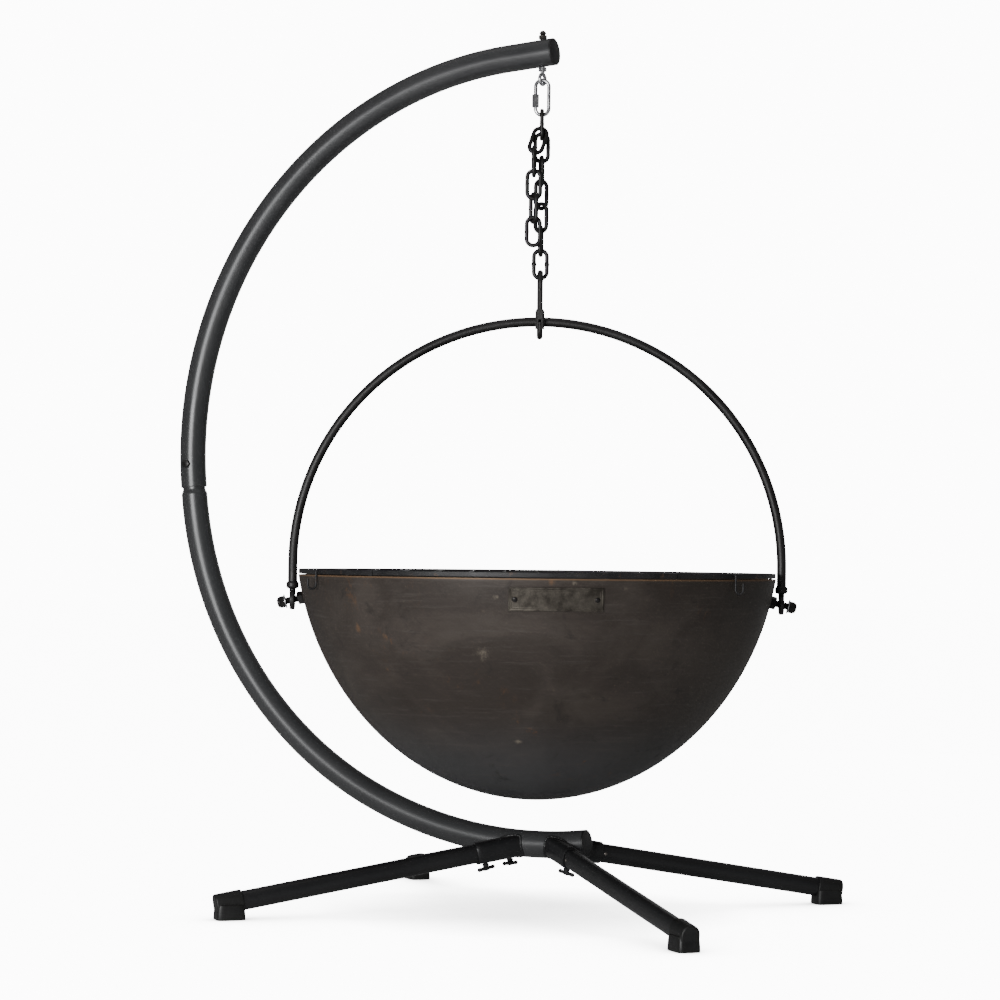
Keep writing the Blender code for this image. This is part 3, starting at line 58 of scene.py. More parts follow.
# --------------------------------------------------------------------------------------------
# Camera, floor and light. The object stands on a pale seamless floor in a white studio, seen
# from a little above the rim, a quarter turn round from the hoop's open side.
# --------------------------------------------------------------------------------------------
eye_low, eye_high = (np.array(corner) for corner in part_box("eye_bolt"))
chain_line = 0.5 * (eye_low + eye_high) * (1.0, 1.0, 0.0)

VIEW_AZIMUTH = math.radians(24.3)
VIEW_DISTANCE = 5.0
VIEW_OFFSET = 0.0643
VIEW_HEIGHT = 0.604
view_back = np.array((math.sin(VIEW_AZIMUTH), -math.cos(VIEW_AZIMUTH), 0.0))
view_right = np.array((math.cos(VIEW_AZIMUTH), math.sin(VIEW_AZIMUTH), 0.0))
camera_data = bpy.data.cameras.new("camera")
camera_data.sensor_width = 36.0
camera_data.lens = 106.38
camera_data.shift_x = 0.0008
camera_data.shift_y = 0.0535
camera = bpy.data.objects.new("camera", camera_data)
bpy.context.collection.objects.link(camera)
camera.location = chain_line + view_back * VIEW_DISTANCE - view_right * VIEW_OFFSET + UP * VIEW_HEIGHT
level = Vector(-view_back).to_track_quat("-Z", "Y")
camera.rotation_mode = "QUATERNION"
camera.rotation_quaternion = level @ Matrix.Rotation(0.011, 3, "Z").to_quaternion()
bpy.context.scene.camera = camera


def feed(tree, node, values):
    """Set inputs of a node: a socket is linked, a number or a colour is written."""
    for key, value in values.items():
        if isinstance(value, bpy.types.NodeSocket):
            tree.links.new(value, node.inputs[key])
        elif node.inputs[key].type == "RGBA":
            node.inputs[key].default_value = (*value[:3], 1.0)
        else:
            node.inputs[key].default_value = value

def add_node(tree, kind, values=None, **settings):
    """A shader node of a kind. Its settings are made before its inputs are fed."""
    node = tree.nodes.new("ShaderNode" + kind)
    for key, value in settings.items():
        setattr(node, key, value)
    feed(tree, node, values or {})
    return node

bpy.ops.mesh.primitive_circle_add(vertices=96, radius=30.0, fill_type="NGON", location=(0.0, 0.0, -0.0004))
floor = bpy.context.object
floor.name = "floor"
floor_paint = bpy.data.materials.new("pale_floor")
floor_paint.use_nodes = True
paint = floor_paint.node_tree
# the camera alone sees the floor glow; ambient occlusion dims it as a painted contact shadow close to the
# feet and under the bowl
open_sky = add_node(paint, "AmbientOcclusion", {"Distance": 0.30}, samples=8)
painted_contact_shadow = add_node(paint, "Math", {0: open_sky.outputs["AO"], 1: 1.8}, operation="POWER")
camera_ray = add_node(paint, "LightPath").outputs["Is Camera Ray"]
lift = add_node(paint, "Math", {0: camera_ray, 1: painted_contact_shadow.outputs["Value"]}, operation="MULTIPLY")
glow = add_node(paint, "Math", {0: lift.outputs["Value"], 1: 11.5}, operation="MULTIPLY")
feed(paint, paint.nodes["Principled BSDF"],
     {"Base Color": (0.93, 0.93, 0.93), "Roughness": 0.65, "Specular IOR Level": 0.1,
      "Emission Color": (1.0, 1.0, 1.0), "Emission Strength": glow.outputs["Value"]})
floor.data.materials.append(floor_paint)

world = bpy.data.worlds.new("studio")
world.use_nodes = True
studio = world.node_tree
seen = studio.nodes["Background"]
feed(studio, seen, {"Color": (1.0, 1.0, 1.0), "Strength": 12.0})
cast = add_node(studio, "Background", {"Color": (1.0, 1.0, 1.0), "Strength": 0.15})
which = add_node(studio, "MixShader", {"Fac": add_node(studio, "LightPath").outputs["Is Camera Ray"],
                                       1: cast.outputs["Background"], 2: seen.outputs["Background"]})
feed(studio, studio.nodes["World Output"], {"Surface": which.outputs["Shader"]})
bpy.context.scene.world = world

def soft_box(name, azimuth, elevation, distance, width, height, power, aim=0.75):
    """A rectangular area light on a sphere round the chain line, turned to face it."""
    azimuth, elevation = math.radians(azimuth), math.radians(elevation)
    out = (view_back * math.cos(azimuth) + view_right * math.sin(azimuth)) * math.cos(elevation)
    out = out + UP * math.sin(elevation)
    data = bpy.data.lights.new(name, "AREA")
    data.shape = "RECTANGLE"
    data.size, data.size_y = width, height
    data.energy = power
    lamp = bpy.data.objects.new(name, data)
    bpy.context.collection.objects.link(lamp)
    lamp.location = chain_line + UP * aim + out * distance
    lamp.rotation_mode = "QUATERNION"
    lamp.rotation_quaternion = Vector(out).to_track_quat("Z", "Y")


soft_box("key", -27.0, 3.0, 4.6, 2.1, 1.0, 170.0)
soft_box("backdrop", 162.0, 6.0, 4.2, 2.4, 3.4, 12.0)
soft_box("overhead", 0.0, 84.0, 3.6, 4.5, 4.5, 22.0)


# --------------------------------------------------------------------------------------------
# Hoop: two bent 46 mm steel tubes. The lower tube's swaged end plugs into the upper one. Both
# have a satin charcoal powder coat, with the faint orange peel that such a coat dries with.
# --------------------------------------------------------------------------------------------
CAPPED = (False, True, True)  # a run of outlines, closed round and at both ends
TURNED = (False, True, False)  # a run of outlines, closed round and left open or ended in poles
LOOPED = (True, True, False)  # closed both ways

def mesh_piece(name, grids, material, body, nodes=(), sharp=38.0):
    """One piece from grids of points. Each grid is (points, closed_rows, closed_columns, ends):
    points is rows x columns x 3, neighbours are joined by quads, and ends closes the first and
    last rows. Doubles at poles are merged and the faces are turned outwards."""
    points, faces, start = [], [], 0
    for grid, closed_rows, closed_columns, ends in grids:
        rows, columns = grid.shape[:2]
        index = start + np.arange(rows * columns).reshape(rows, columns)
        here = index if closed_rows else index[:-1]
        ahead = np.roll(index, -1, 0) if closed_rows else index[1:]
        here_next, ahead_next = np.roll(here, -1, 1), np.roll(ahead, -1, 1)
        quads = np.stack([here, here_next, ahead_next, ahead], -1)
        if not closed_columns:
            quads = quads[:, :-1]
        faces += quads.reshape(-1, 4).tolist()
        if ends:
            faces += [index[0][::-1].tolist(), index[-1].tolist()]
        points.append(grid.reshape(-1, 3))
        start += rows * columns
    mesh = bpy.data.meshes.new(name)
    mesh.from_pydata(np.concatenate(points).tolist(), [], faces)
    work = bmesh.new()
    work.from_mesh(mesh)
    bmesh.ops.remove_doubles(work, verts=work.verts, dist=0.000002)
    bmesh.ops.recalc_face_normals(work, faces=work.faces)
    work.to_mesh(mesh)
    work.free()
    mesh.materials.append(material)
    mesh.shade_smooth()
    mesh.set_sharp_from_angle(angle=math.radians(sharp))
    piece = bpy.data.objects.new(name, mesh)
    bpy.context.collection.objects.link(piece)
    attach(piece, body)
    if nodes:
        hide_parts(*nodes)
    return piece


def unit(vector):
    """The vector over its own length."""
    vector = np.asarray(vector, float)
    return vector / np.linalg.norm(vector, axis=-1, keepdims=True)


def carry(path, outline, side, closed=False):
    """Grid of an outline carried along a path: point + first * u + second * v. first starts
    nearest to side and turns as little as it can; outline is columns x 2 or rows x columns x 2."""
    path = np.asarray(path, float)
    if closed:
        tangent = unit(np.roll(path, -1, 0) - np.roll(path, 1, 0))
    else:
        tangent = unit(np.gradient(path, axis=0))
    first = np.empty_like(path)
    hint = np.asarray(side, float)
    for i, heading in enumerate(tangent):
        hint = unit(hint - heading * hint.dot(heading))
        first[i] = hint
    second = np.cross(tangent, first)
    outline = np.broadcast_to(outline, (len(path),) + np.shape(outline)[-2:])
    return (path[:, None] + first[:, None] * outline[..., :1] + second[:, None] * outline[..., 1:])


def ring(radius, sides):
    """Outline of a circle; radius may be one number or one for each row."""
    angle = np.linspace(0.0, 2.0 * math.pi, sides, endpoint=False)
    circle = np.stack([np.cos(angle), np.sin(angle)], -1)
    return np.asarray(radius, float)[..., None, None] * circle


def circle_about(axis, sides):
    """Unit circle square to an axis. It starts nearest to up, or to x for an upright axis."""
    hint = np.array((1.0, 0.0, 0.0)) if abs(axis[2]) > 0.9 else UP
    first = unit(hint - axis * hint.dot(axis))
    angle = np.linspace(0.0, 2.0 * math.pi, sides, endpoint=False)
    return np.cos(angle)[:, None] * first + np.sin(angle)[:, None] * np.cross(axis, first)

def spun(base, axis, heights, radii, sides=48):
    """Grid of a turned shape: base + axis * height + a circle of each radius."""
    axis = unit(axis)
    heights, radii = np.asarray(heights, float), np.asarray(radii, float)
    return np.asarray(base) + heights[:, None, None] * axis + radii[:, None, None] * circle_about(axis, sides)

def mottle_group():
    """Uneven colour and a fine skin from Object coordinates: broad noise as Mask and fine noise
    as Grain."""
    group = bpy.data.node_groups.new("mottle", "ShaderNodeTree")
    layers = (("Mask", "Patch Scale", 5.0), ("Grain", "Grain Scale", 2.0))
    for label, scale, detail in layers:
        group.interface.new_socket(scale, in_out="INPUT", socket_type="NodeSocketFloat")
        group.interface.new_socket(label, in_out="OUTPUT", socket_type="NodeSocketFloat")
    given, result = group.nodes.new("NodeGroupInput"), group.nodes.new("NodeGroupOutput")
    place = add_node(group, "TexCoord").outputs["Object"]
    for label, scale, detail in layers:
        noise = add_node(group, "TexNoise", {"Vector": place, "Scale": given.outputs[scale],
                                            "Detail": detail})
        feed(group, result, {label: noise.outputs["Fac"]})
    return group

mottle = mottle_group()

def ramp(tree, value, *stops):
    """Colour along a value, from two (position, colour) stops."""
    made = add_node(tree, "ValToRGB", {"Fac": value})
    for element, (position, colour) in zip(made.color_ramp.elements, stops):
        element.position = position
        element.color = (*colour, 1.0)
    return made.outputs["Color"]

def coated(name, dark, light, roughness, metallic=0.0, patch=5.0, grain=700.0, bump=0.15,
           bump_distance=0.0004, spread=0.08):
    """A painted, moulded or plated finish: two near tones, uneven gloss and a fine grain."""
    material = bpy.data.materials.new(name)
    material.use_nodes = True
    tree = material.node_tree
    skin = add_node(tree, "Group", {"Patch Scale": patch, "Grain Scale": grain}, node_tree=mottle)
    mask = skin.outputs["Mask"]
    gloss = add_node(tree, "MapRange", {"Value": mask, "From Min": 0.3, "From Max": 0.7,
                                        "To Min": roughness - spread, "To Max": roughness + spread})
    relief = add_node(tree, "Bump", {"Strength": bump, "Distance": bump_distance,
                                     "Height": skin.outputs["Grain"]})
    feed(tree, tree.nodes["Principled BSDF"],
         {"Metallic": metallic, "Base Color": ramp(tree, mask, (0.35, dark), (0.65, light)),
          "Roughness": gloss.outputs["Result"], "Normal": relief.outputs["Normal"]})
    return material

powder_coat = coated("charcoal_powder_coat", (0.046, 0.047, 0.049), (0.060, 0.061, 0.063), 0.31,
                     metallic=0.25, patch=4.0, grain=620.0, bump=0.25)

TUBE_RADIUS = 0.023
BEND_RADIUS = 0.6685
BEND_HEIGHT = 0.7795
SETBACK = 0.004
TIP_SLOPE = 5.0
TIP_OVERHANG = 0.020
JOINT_ANGLE = 95.4
bend_centre = chain_line + (-SETBACK, 0.0, BEND_HEIGHT)


def on_bend(degrees):
    """Centre of the upper tube, at angles from the top of its bend towards the back."""
    angle = np.radians(degrees)
    offset = np.stack([-np.sin(angle), 0.0 * angle, np.cos(angle)], -1)
    return bend_centre + BEND_RADIUS * offset


tip_run = np.array((math.cos(math.radians(TIP_SLOPE)), 0.0, math.sin(math.radians(TIP_SLOPE))))
straight_start = on_bend(np.array(TIP_SLOPE))
tip_point = straight_start + tip_run * (chain_line[0] + TIP_OVERHANG - straight_start[0]) / tip_run[0]
crossing_point = tip_point - tip_run * TIP_OVERHANG / tip_run[0]

upper_path = np.concatenate([
    np.linspace(tip_point, straight_start, 6)[:-1],
    on_bend(np.linspace(TIP_SLOPE, JOINT_ANGLE, 150))])
lip = unit(upper_path[-1] - upper_path[-2])
upper_path = np.concatenate([upper_path[:-1], [upper_path[-1] - lip * 0.0008, upper_path[-1]]])
upper_radius = np.full(len(upper_path), TUBE_RADIUS)
upper_radius[-1] -= 0.0007
upper_grid = carry(upper_path, ring(upper_radius, 64), (0.0, 1.0, 0.0))
inner_grid = carry(np.stack([upper_path[-1], upper_path[-1] - lip * 0.01, upper_path[-1] - lip * 0.02]),
                   ring(np.full(3, TUBE_RADIUS - 0.0024), 64), (0.0, 1.0, 0.0))
upper_grid = np.concatenate([upper_grid, inner_grid])
mesh_piece("hoop_upper", [(upper_grid, *CAPPED)], powder_coat, "stand",
           ("upper_arc_tube",))


def left_bend(start, heading, radius, turn, count):
    """Arc in the XZ plane that turns left from a heading: centre + radius * (sin, -cos)."""
    heading, turn = math.radians(heading), math.radians(turn)
    centre = start + np.array((-math.sin(heading), 0.0, math.cos(heading))) * radius
    angle = heading + np.linspace(0.0, turn, count)[1:]
    return centre + radius * np.stack([np.sin(angle), 0.0 * angle, -np.cos(angle)], -1)


LOWER_BEND = (0.641, 61.0)
HUB_BEND = (0.72, 32.3)
KINK = 1.38
NECK_SHOW = 0.004
NECK_TAPER = 0.009
lower_start = on_bend(np.array(JOINT_ANGLE))
lower_heading = JOINT_ANGLE - 180.0 - KINK
first_bend = left_bend(lower_start, lower_heading, *LOWER_BEND, 110)
second_bend = left_bend(first_bend[-1], lower_heading + LOWER_BEND[1], *HUB_BEND, 60)
lower_path = np.concatenate([[lower_start], first_bend, second_bend])
lower_run = np.concatenate([[0.0], np.cumsum(np.linalg.norm(np.diff(lower_path, axis=0), axis=1))])
stations = np.concatenate([np.linspace(0.0, 0.02, 21), np.linspace(0.024, lower_run[-1], 160)])
lower_path = np.stack([np.interp(stations, lower_run, lower_path[:, k]) for k in range(3)], -1)
spigot_radius = TUBE_RADIUS - 0.003
swage = np.clip((stations - NECK_SHOW) / NECK_TAPER, 0.0, 1.0)
lower_radius = spigot_radius + (TUBE_RADIUS - spigot_radius) * swage * swage * (3.0 - 2.0 * swage)
inside = on_bend(JOINT_ANGLE - np.linspace(5.0, 0.4, 8))
lower_all = np.concatenate([inside, lower_path])
lower_all_radius = np.concatenate([np.full(len(inside), spigot_radius), lower_radius])
mesh_piece("hoop_lower", [(carry(lower_all, ring(lower_all_radius, 64), (0.0, 1.0, 0.0)), *CAPPED)],
           powder_coat, "stand", ("lower_arc_tube",))


# --------------------------------------------------------------------------------------------
# End plugs: moulded black plastic discs pushed into both ends of the hoop, with a domed face
# and a fine moulded texture.
# --------------------------------------------------------------------------------------------
plug_plastic = coated("black_moulded_plastic", (0.012, 0.012, 0.012), (0.017, 0.017, 0.018), 0.42,
                      patch=30.0, grain=1500.0, bump=0.25, bump_distance=0.0003)


def plug(name, base, outward, node):
    """A flange as wide as the tube: heights and radii run from the tube's end to a low dome."""
    arc = np.linspace(0.0, 0.5 * math.pi, 7)
    heights = np.concatenate([[-0.010, -0.010, 0.0003, 0.0003], 0.0018 + 0.0012 * np.sin(arc),
                              [0.0034, 0.0037]])
    radii = np.concatenate([[0.0, 0.0195, 0.0195, TUBE_RADIUS], TUBE_RADIUS - 0.0016 * (1.0 - np.cos(arc)),
                            [0.012, 0.0]])
    return mesh_piece(name, [(spun(base, outward, heights, radii, 64), *TURNED)], plug_plastic,
                      "stand", (node,))


plug("plug_tip", tip_point, tip_run, "tip_plug")
plug("plug_hub", lower_path[-1], lower_path[-1] - lower_path[-2], "hub_plug")


# --------------------------------------------------------------------------------------------
# Fasteners: hexagon bolts and nuts with chamfered corners, blackened on the joint and the
# pivots and zinc plated on the eye bolt.
# --------------------------------------------------------------------------------------------
black_fastener = coated("blackened_fastener", (0.018, 0.017, 0.017), (0.035, 0.033, 0.032), 0.38,
                        metallic=0.7, patch=90.0, grain=900.0, bump=0.15, spread=0.1)
bright_zinc = coated("bright_zinc_plate", (0.55, 0.56, 0.58), (0.72, 0.72, 0.73), 0.26,
                     metallic=1.0, patch=120.0, grain=1800.0, bump=0.08, spread=0.08)
dark_zinc = coated("tarnished_zinc_plate", (0.10, 0.095, 0.09), (0.24, 0.22, 0.20), 0.36,
                   metallic=0.9, patch=160.0, grain=1800.0, bump=0.1)


def hexagon_grid(base, axis, flats, height, bore, turn=0.0, sides=72):
    """Rows of a chamfered hexagon: its radius is half the flats over the cosine of the angle
    from the nearest flat, cut by a 30 degree cone at both faces; bore is the hole's radius."""
    axis = unit(axis)
    sixth = math.pi / 3.0
    angle = np.linspace(0.0, 2.0 * math.pi, sides, endpoint=False)
    hexagon = 0.5 * flats / np.cos((angle - turn + 0.5 * sixth) % sixth - 0.5 * sixth)
    flat = np.minimum(hexagon, 0.49 * flats)
    cut = (hexagon - flat) * math.tan(math.radians(30.0))
    plain, zero = np.full(sides, float(bore)), np.zeros(sides)
    radii = np.stack([plain, flat, hexagon, hexagon, flat, plain])
    heights = np.stack([zero, zero, cut, height - cut, zero + height, zero + height])
    return np.asarray(base) + heights[..., None] * axis + radii[..., None] * circle_about(axis, sides)

def threads(base, axis, start, end, radius, pitch, sides=32):
    """Grid of a threaded rod: rings whose radius goes up and down once for each pitch."""
    count = max(2, int(round((end - start) / pitch)))
    steps = np.linspace(start, end, 2 * count + 1)
    radii = radius - 0.30 * pitch * (np.arange(2 * count + 1) % 2 == 0)
    steps = np.concatenate([[start], steps, [end]])
    radii = np.concatenate([[0.0], radii, [0.0]])
    return spun(base, axis, steps, radii, sides)


front = np.array((0.0, -1.0, 0.0))
joint_centre = on_bend(np.array(JOINT_ANGLE - math.degrees(0.041 / BEND_RADIUS)))
head_grid = hexagon_grid(joint_centre + front * (TUBE_RADIUS + 0.0002), front, 0.013, 0.0053, 0.0)
mesh_piece("joint_bolt_black", [(head_grid, *TURNED),
           (threads(joint_centre, -front, 0.0, 0.0325, 0.004, 0.00125), *TURNED)],
           black_fastener, "stand", ("joint_bolt",))
mesh_piece("joint_nut_black", [(hexagon_grid(joint_centre - front * (TUBE_RADIUS + 0.0003), -front,
           0.013, 0.0065, 0.0041), *LOOPED)], black_fastener, "stand", ("joint_nut",))


# --------------------------------------------------------------------------------------------
# Hub sockets and legs: short oval tubes welded to the lower hoop, each holding a straight oval
# leg. All have a satin black powder coat; the weld runs round each socket's saddle.
# --------------------------------------------------------------------------------------------
leg_paint = coated("satin_black_powder_coat", (0.010, 0.010, 0.011), (0.015, 0.015, 0.016), 0.33,
                   metallic=0.1, patch=5.0, grain=700.0, bump=0.22)

CORNERS = {"front_left": (-1, -1), "front_right": (1, -1), "back_left": (-1, 1), "back_right": (1, 1)}
HUB_OFFSET = 0.0075
SOCKET_SPACING = 0.0205
LEG_AZIMUTH = math.radians(43.0)
LEG_REACH = 0.515
LEG_OVAL = (0.032, 0.026)
SOCKET_OVAL = (0.0374, 0.0314)
SOCKET_LENGTH = 0.093
FOOT_AXIS = 0.0265


def oval(height, width, sides=64):
    """Flat-sided oval outline: a superellipse of power 2.5."""
    angle = np.linspace(0.0, 2.0 * math.pi, sides, endpoint=False)
    c, s = np.cos(angle), np.sin(angle)
    return np.stack([0.5 * height * np.sign(c) * np.abs(c) ** 0.8,
                     0.5 * width * np.sign(s) * np.abs(s) ** 0.8], -1)


def leg_axis(corner):
    """Root on the hub tube, unit direction down the leg, ground direction and foot point."""
    side_x, side_y = CORNERS[corner]
    x = chain_line[0] + HUB_OFFSET + side_x * SOCKET_SPACING
    near = second_bend[np.argsort(np.abs(second_bend[:, 0] - x))[:2]]
    share = (x - near[0, 0]) / (near[1, 0] - near[0, 0])
    root = near[0] + (near[1] - near[0]) * share
    plan = np.array((side_x * math.cos(LEG_AZIMUTH), side_y * math.sin(LEG_AZIMUTH), 0.0))
    foot = root * (1.0, 0.0, 0.0) + plan * LEG_REACH + UP * FOOT_AXIS
    return root, unit(foot - root), plan, foot


def saddle_line(root, along, outline):
    """Where lines down the socket's oval leave the hub tube: the larger root s of the distance
    from the hub's axis, y and z only, equal to the tube's radius."""
    first = unit(UP - along * UP.dot(along))
    second = np.cross(along, first)
    offset = first * outline[:, :1] + second * outline[:, 1:]
    a = along[1] ** 2 + along[2] ** 2
    b = offset[:, 1] * along[1] + offset[:, 2] * along[2]
    c = offset[:, 1] ** 2 + offset[:, 2] ** 2 - TUBE_RADIUS ** 2
    run = (-b + np.sqrt(np.maximum(b * b - a * c, 0.0))) / a
    return root + offset + along * run[:, None]


for corner in CORNERS:
    root, along, plan, foot = leg_axis(corner)
    steps = np.concatenate([np.linspace(0.008, SOCKET_LENGTH - 0.001, 12), [SOCKET_LENGTH]])
    outer = np.stack([oval(*SOCKET_OVAL)] * 12 + [oval(SOCKET_OVAL[0] - 0.0014, SOCKET_OVAL[1] - 0.0014)])
    inner = np.stack([oval(SOCKET_OVAL[0] - 0.0042, SOCKET_OVAL[1] - 0.0042)] * 2)
    path = root + np.concatenate([steps, [SOCKET_LENGTH, SOCKET_LENGTH - 0.03]])[:, None] * along
    # the walls fold back in at the mouth, so the frame is carried along the outer run only
    straight = root + np.concatenate([steps, steps[-1:] + 0.001, steps[-1:] + 0.002])[:, None] * along
    grid = carry(straight, np.concatenate([outer, inner]), UP)
    grid += (path - straight)[:, None]
    weld = saddle_line(root, along, oval(*SOCKET_OVAL, 120))
    ripple = 0.0023 + 0.0003 * np.sin(np.arange(120) * 2.0 * math.pi / 120.0 * 34.0)
    bead = carry(weld, ring(ripple, 12), along, closed=True)
    mesh_piece("socket_" + corner, [(grid, *CAPPED), (bead, *LOOPED)], leg_paint,
               "stand", ("leg_socket_" + corner,))
    leg_run = np.linspace(0.056, LEG_REACH / math.cos(math.asin(-along[2])) + 0.018, 24)
    leg = carry(root + leg_run[:, None] * along, oval(*LEG_OVAL), UP)
    button_side = unit(np.cross(along, UP))
    button_at = root + along * (SOCKET_LENGTH + 0.006) + button_side * (0.5 * LEG_OVAL[1] - 0.0006)
    button = spun(button_at, button_side, [-0.001, 0.0006, 0.0014, 0.0018], [0.003, 0.003, 0.0022, 0.0], 24)
    mesh_piece("leg_" + corner, [(leg, *CAPPED)], leg_paint, "stand",
               ("leg_tube_" + corner,))
    mesh_piece("leg_button_" + corner, [(button, *TURNED)], dark_zinc, "stand", ())


# --------------------------------------------------------------------------------------------
# Foot caps: moulded black rubber. An oval sleeve closes over the leg's end, and a flat-bottomed
# block under it, a little narrower at the top, stands on the ground.
# --------------------------------------------------------------------------------------------
foot_rubber = coated("moulded_rubber", (0.004, 0.004, 0.004), (0.007, 0.007, 0.007), 0.52,
                     patch=40.0, grain=1100.0, bump=0.3, bump_distance=0.0003)


def rounded_box(half_x, half_y, squareness, sides=64):
    """Outline of a rectangle with rounded corners: a superellipse of power squareness."""
    angle = np.linspace(0.0, 2.0 * math.pi, sides, endpoint=False)
    power = 2.0 / squareness
    c, s = np.cos(angle), np.sin(angle)
    return np.stack([half_x * np.sign(c) * np.abs(c) ** power, half_y * np.sign(s) * np.abs(s) ** power], -1)


for corner in CORNERS:
    root, along, plan, foot = leg_axis(corner)
    cap_end = foot + along * 0.0248
    arc = np.linspace(0.0, 0.5 * math.pi, 6)
    back = np.concatenate([[0.046, 0.0452], np.linspace(0.044, 0.003, 8), 0.003 - 0.003 * np.sin(arc)])
    shrink = np.concatenate([[0.0012, 0.0002], np.zeros(8), 0.0030 * (1.0 - np.cos(arc))])
    outlines = np.stack([oval(0.038 - 2.0 * s, 0.032 - 2.0 * s) for s in shrink])
    sleeve = carry(cap_end - back[:, None] * along, outlines, UP)
    heights = np.array((0.0, 0.0008, 0.002, 0.010, 0.018, 0.024, 0.026))
    scale = np.array((0.965, 0.99, 1.0, 0.985, 0.955, 0.92, 0.80))
    block_path = foot * (1.0, 1.0, 0.0) + heights[:, None] * UP
    block = carry(block_path, scale[:, None, None] * rounded_box(0.0195, 0.0245, 6.0), np.cross(plan, UP))
    mesh_piece("foot_" + corner, [(sleeve, *CAPPED), (block, *CAPPED)], foot_rubber,
               "stand", ("foot_cap_" + corner,))


# --------------------------------------------------------------------------------------------
# Clamp screws: moulded T-handles under the sockets that pinch the legs. Each is a collar, a
# short stem and a rounded bar with a waist.
# --------------------------------------------------------------------------------------------
CLAMP_STEM = 0.0045
CLAMP_BAR = (0.036, 0.0085)

for corner in CORNERS:
    root, along, plan, foot = leg_axis(corner)
    down = unit(-UP + along * UP.dot(along))
    centre = root + along * (SOCKET_LENGTH - 0.015)
    shoulder = 0.5 * LEG_OVAL[0] + 0.0005 + 0.0022 + 0.0012
    stem = spun(centre, down, [0.0163, 0.0163, shoulder, shoulder, shoulder + 0.0006,
                               shoulder + CLAMP_STEM, shoulder + CLAMP_STEM + 0.002],
                [0.0, 0.004, 0.004, 0.0052, 0.0058, 0.0052, 0.0], 32)
    across = np.cross(along, down)
    run = unit(along * 0.94 + across * 0.34)
    middle = centre + down * (shoulder + CLAMP_STEM - 0.001 + 0.5 * CLAMP_BAR[1])
    reach = np.linspace(-1.0, 1.0, 41)
    waist = 0.86 + 0.14 * np.cos(2.0 * math.pi * reach)
    thick = 0.5 * CLAMP_BAR[1] * waist * np.sqrt(np.maximum(1.0 - np.abs(reach) ** 9, 0.0))
    handle = carry(middle + 0.5 * CLAMP_BAR[0] * reach[:, None] * run,
                   ring(np.maximum(thick, 0.00002), 24), down)
    mesh_piece("clamp_" + corner, [(stem, *TURNED), (handle, *CAPPED)], plug_plastic,
               "clamp_" + corner, ("clamp_screw_" + corner,))


# --------------------------------------------------------------------------------------------
# Eye bolt: a zinc plated M8 rod with a closed eye, a nut under the hoop and a darker acorn nut
# on top of it.
# --------------------------------------------------------------------------------------------
EYE_WIRE = 0.0031
EYE_RADIUS = 0.0088
eye_centre = joint_at["quick_link_swing"] + UP * EYE_RADIUS
bail_turn = math.radians(24.0)
across_bail = np.array((math.cos(bail_turn), math.sin(bail_turn), 0.0))
into_bail = np.array((-math.sin(bail_turn), math.cos(bail_turn), 0.0))


def turned_from_into(degrees):
    """Horizontal direction turned from the bowl's back towards its right."""
    angle = math.radians(degrees)
    return into_bail * math.cos(angle) + across_bail * math.sin(angle)


eye_plane = turned_from_into(31.0)
angle = np.linspace(0.0, 2.0 * math.pi, 64, endpoint=False)
eye_path = eye_centre + EYE_RADIUS * (np.sin(angle)[:, None] * eye_plane + np.cos(angle)[:, None] * UP)
eye_grid = carry(eye_path, ring(EYE_WIRE, 24), np.cross(eye_plane, UP), closed=True)
half_cut = TUBE_RADIUS / math.cos(math.radians(TIP_SLOPE))
top_face, under_face = crossing_point[2] + half_cut, crossing_point[2] - half_cut
shank = threads(chain_line, UP, eye_centre[2] + EYE_RADIUS, top_face + 0.002, 0.004, 0.00125)
mesh_piece("eye_bolt_zinc", [(eye_grid, *LOOPED), (shank, *TURNED)], bright_zinc,
           "stand", ("eye_bolt",))
nut_base = chain_line + UP * (under_face - 0.0008 - 0.0065)
mesh_piece("eye_nut", [(hexagon_grid(nut_base, UP, 0.013, 0.0065, 0.0041, turn=0.3), *LOOPED)],
           bright_zinc, "stand", ("eye_bolt_lower_nut",))
acorn_base = chain_line + UP * (top_face + 0.0008)
arc = np.linspace(0.0, 0.5 * math.pi, 10)
dome = spun(acorn_base, UP, np.concatenate([[0.006, 0.0085], 0.0085 + 0.0065 * np.sin(arc)]),
            np.concatenate([[0.0, 0.0058], 0.0058 * np.cos(arc)]), 40)
mesh_piece("acorn_nut_dark", [(hexagon_grid(acorn_base, UP, 0.013, 0.0065, 0.0, turn=0.2), *TURNED),
           (dome, *TURNED)], dark_zinc, "stand", ("acorn_nut",))


# --------------------------------------------------------------------------------------------
# Quick link: a bent zinc plated rod, open on one side, and the hexagon sleeve nut that screws
# over the opening.
# --------------------------------------------------------------------------------------------
def stadium(length, width, count=96, start=0.0, end=1.0):
    """Centre line of a long round-ended loop, x across and z up from its middle, walked by
    distance: two straights and two half circles. start and end are shares of the way round."""
    radius, half = 0.5 * width, 0.5 * (length - width)
    bend_length = math.pi * radius
    total = 4.0 * half + 2.0 * bend_length
    s = (np.linspace(start, end, count, endpoint=(end - start) < 1.0) % 1.0) * total
    top = (s - half) / radius
    bottom = (s - 3.0 * half - bend_length) / radius
    on_right_low = s >= 3.0 * half + 2.0 * bend_length
    conditions = [s < half, s < half + bend_length, s < 3.0 * half + bend_length, ~on_right_low]
    x = np.select(conditions,
                  [radius + 0 * s, radius * np.cos(top), -radius + 0 * s, -radius * np.cos(bottom)],
                  radius)
    z = np.select(conditions, [s, half + radius * np.sin(top), 2.0 * half + bend_length - s,
                               -half - radius * np.sin(bottom)], s - total)
    return x, z


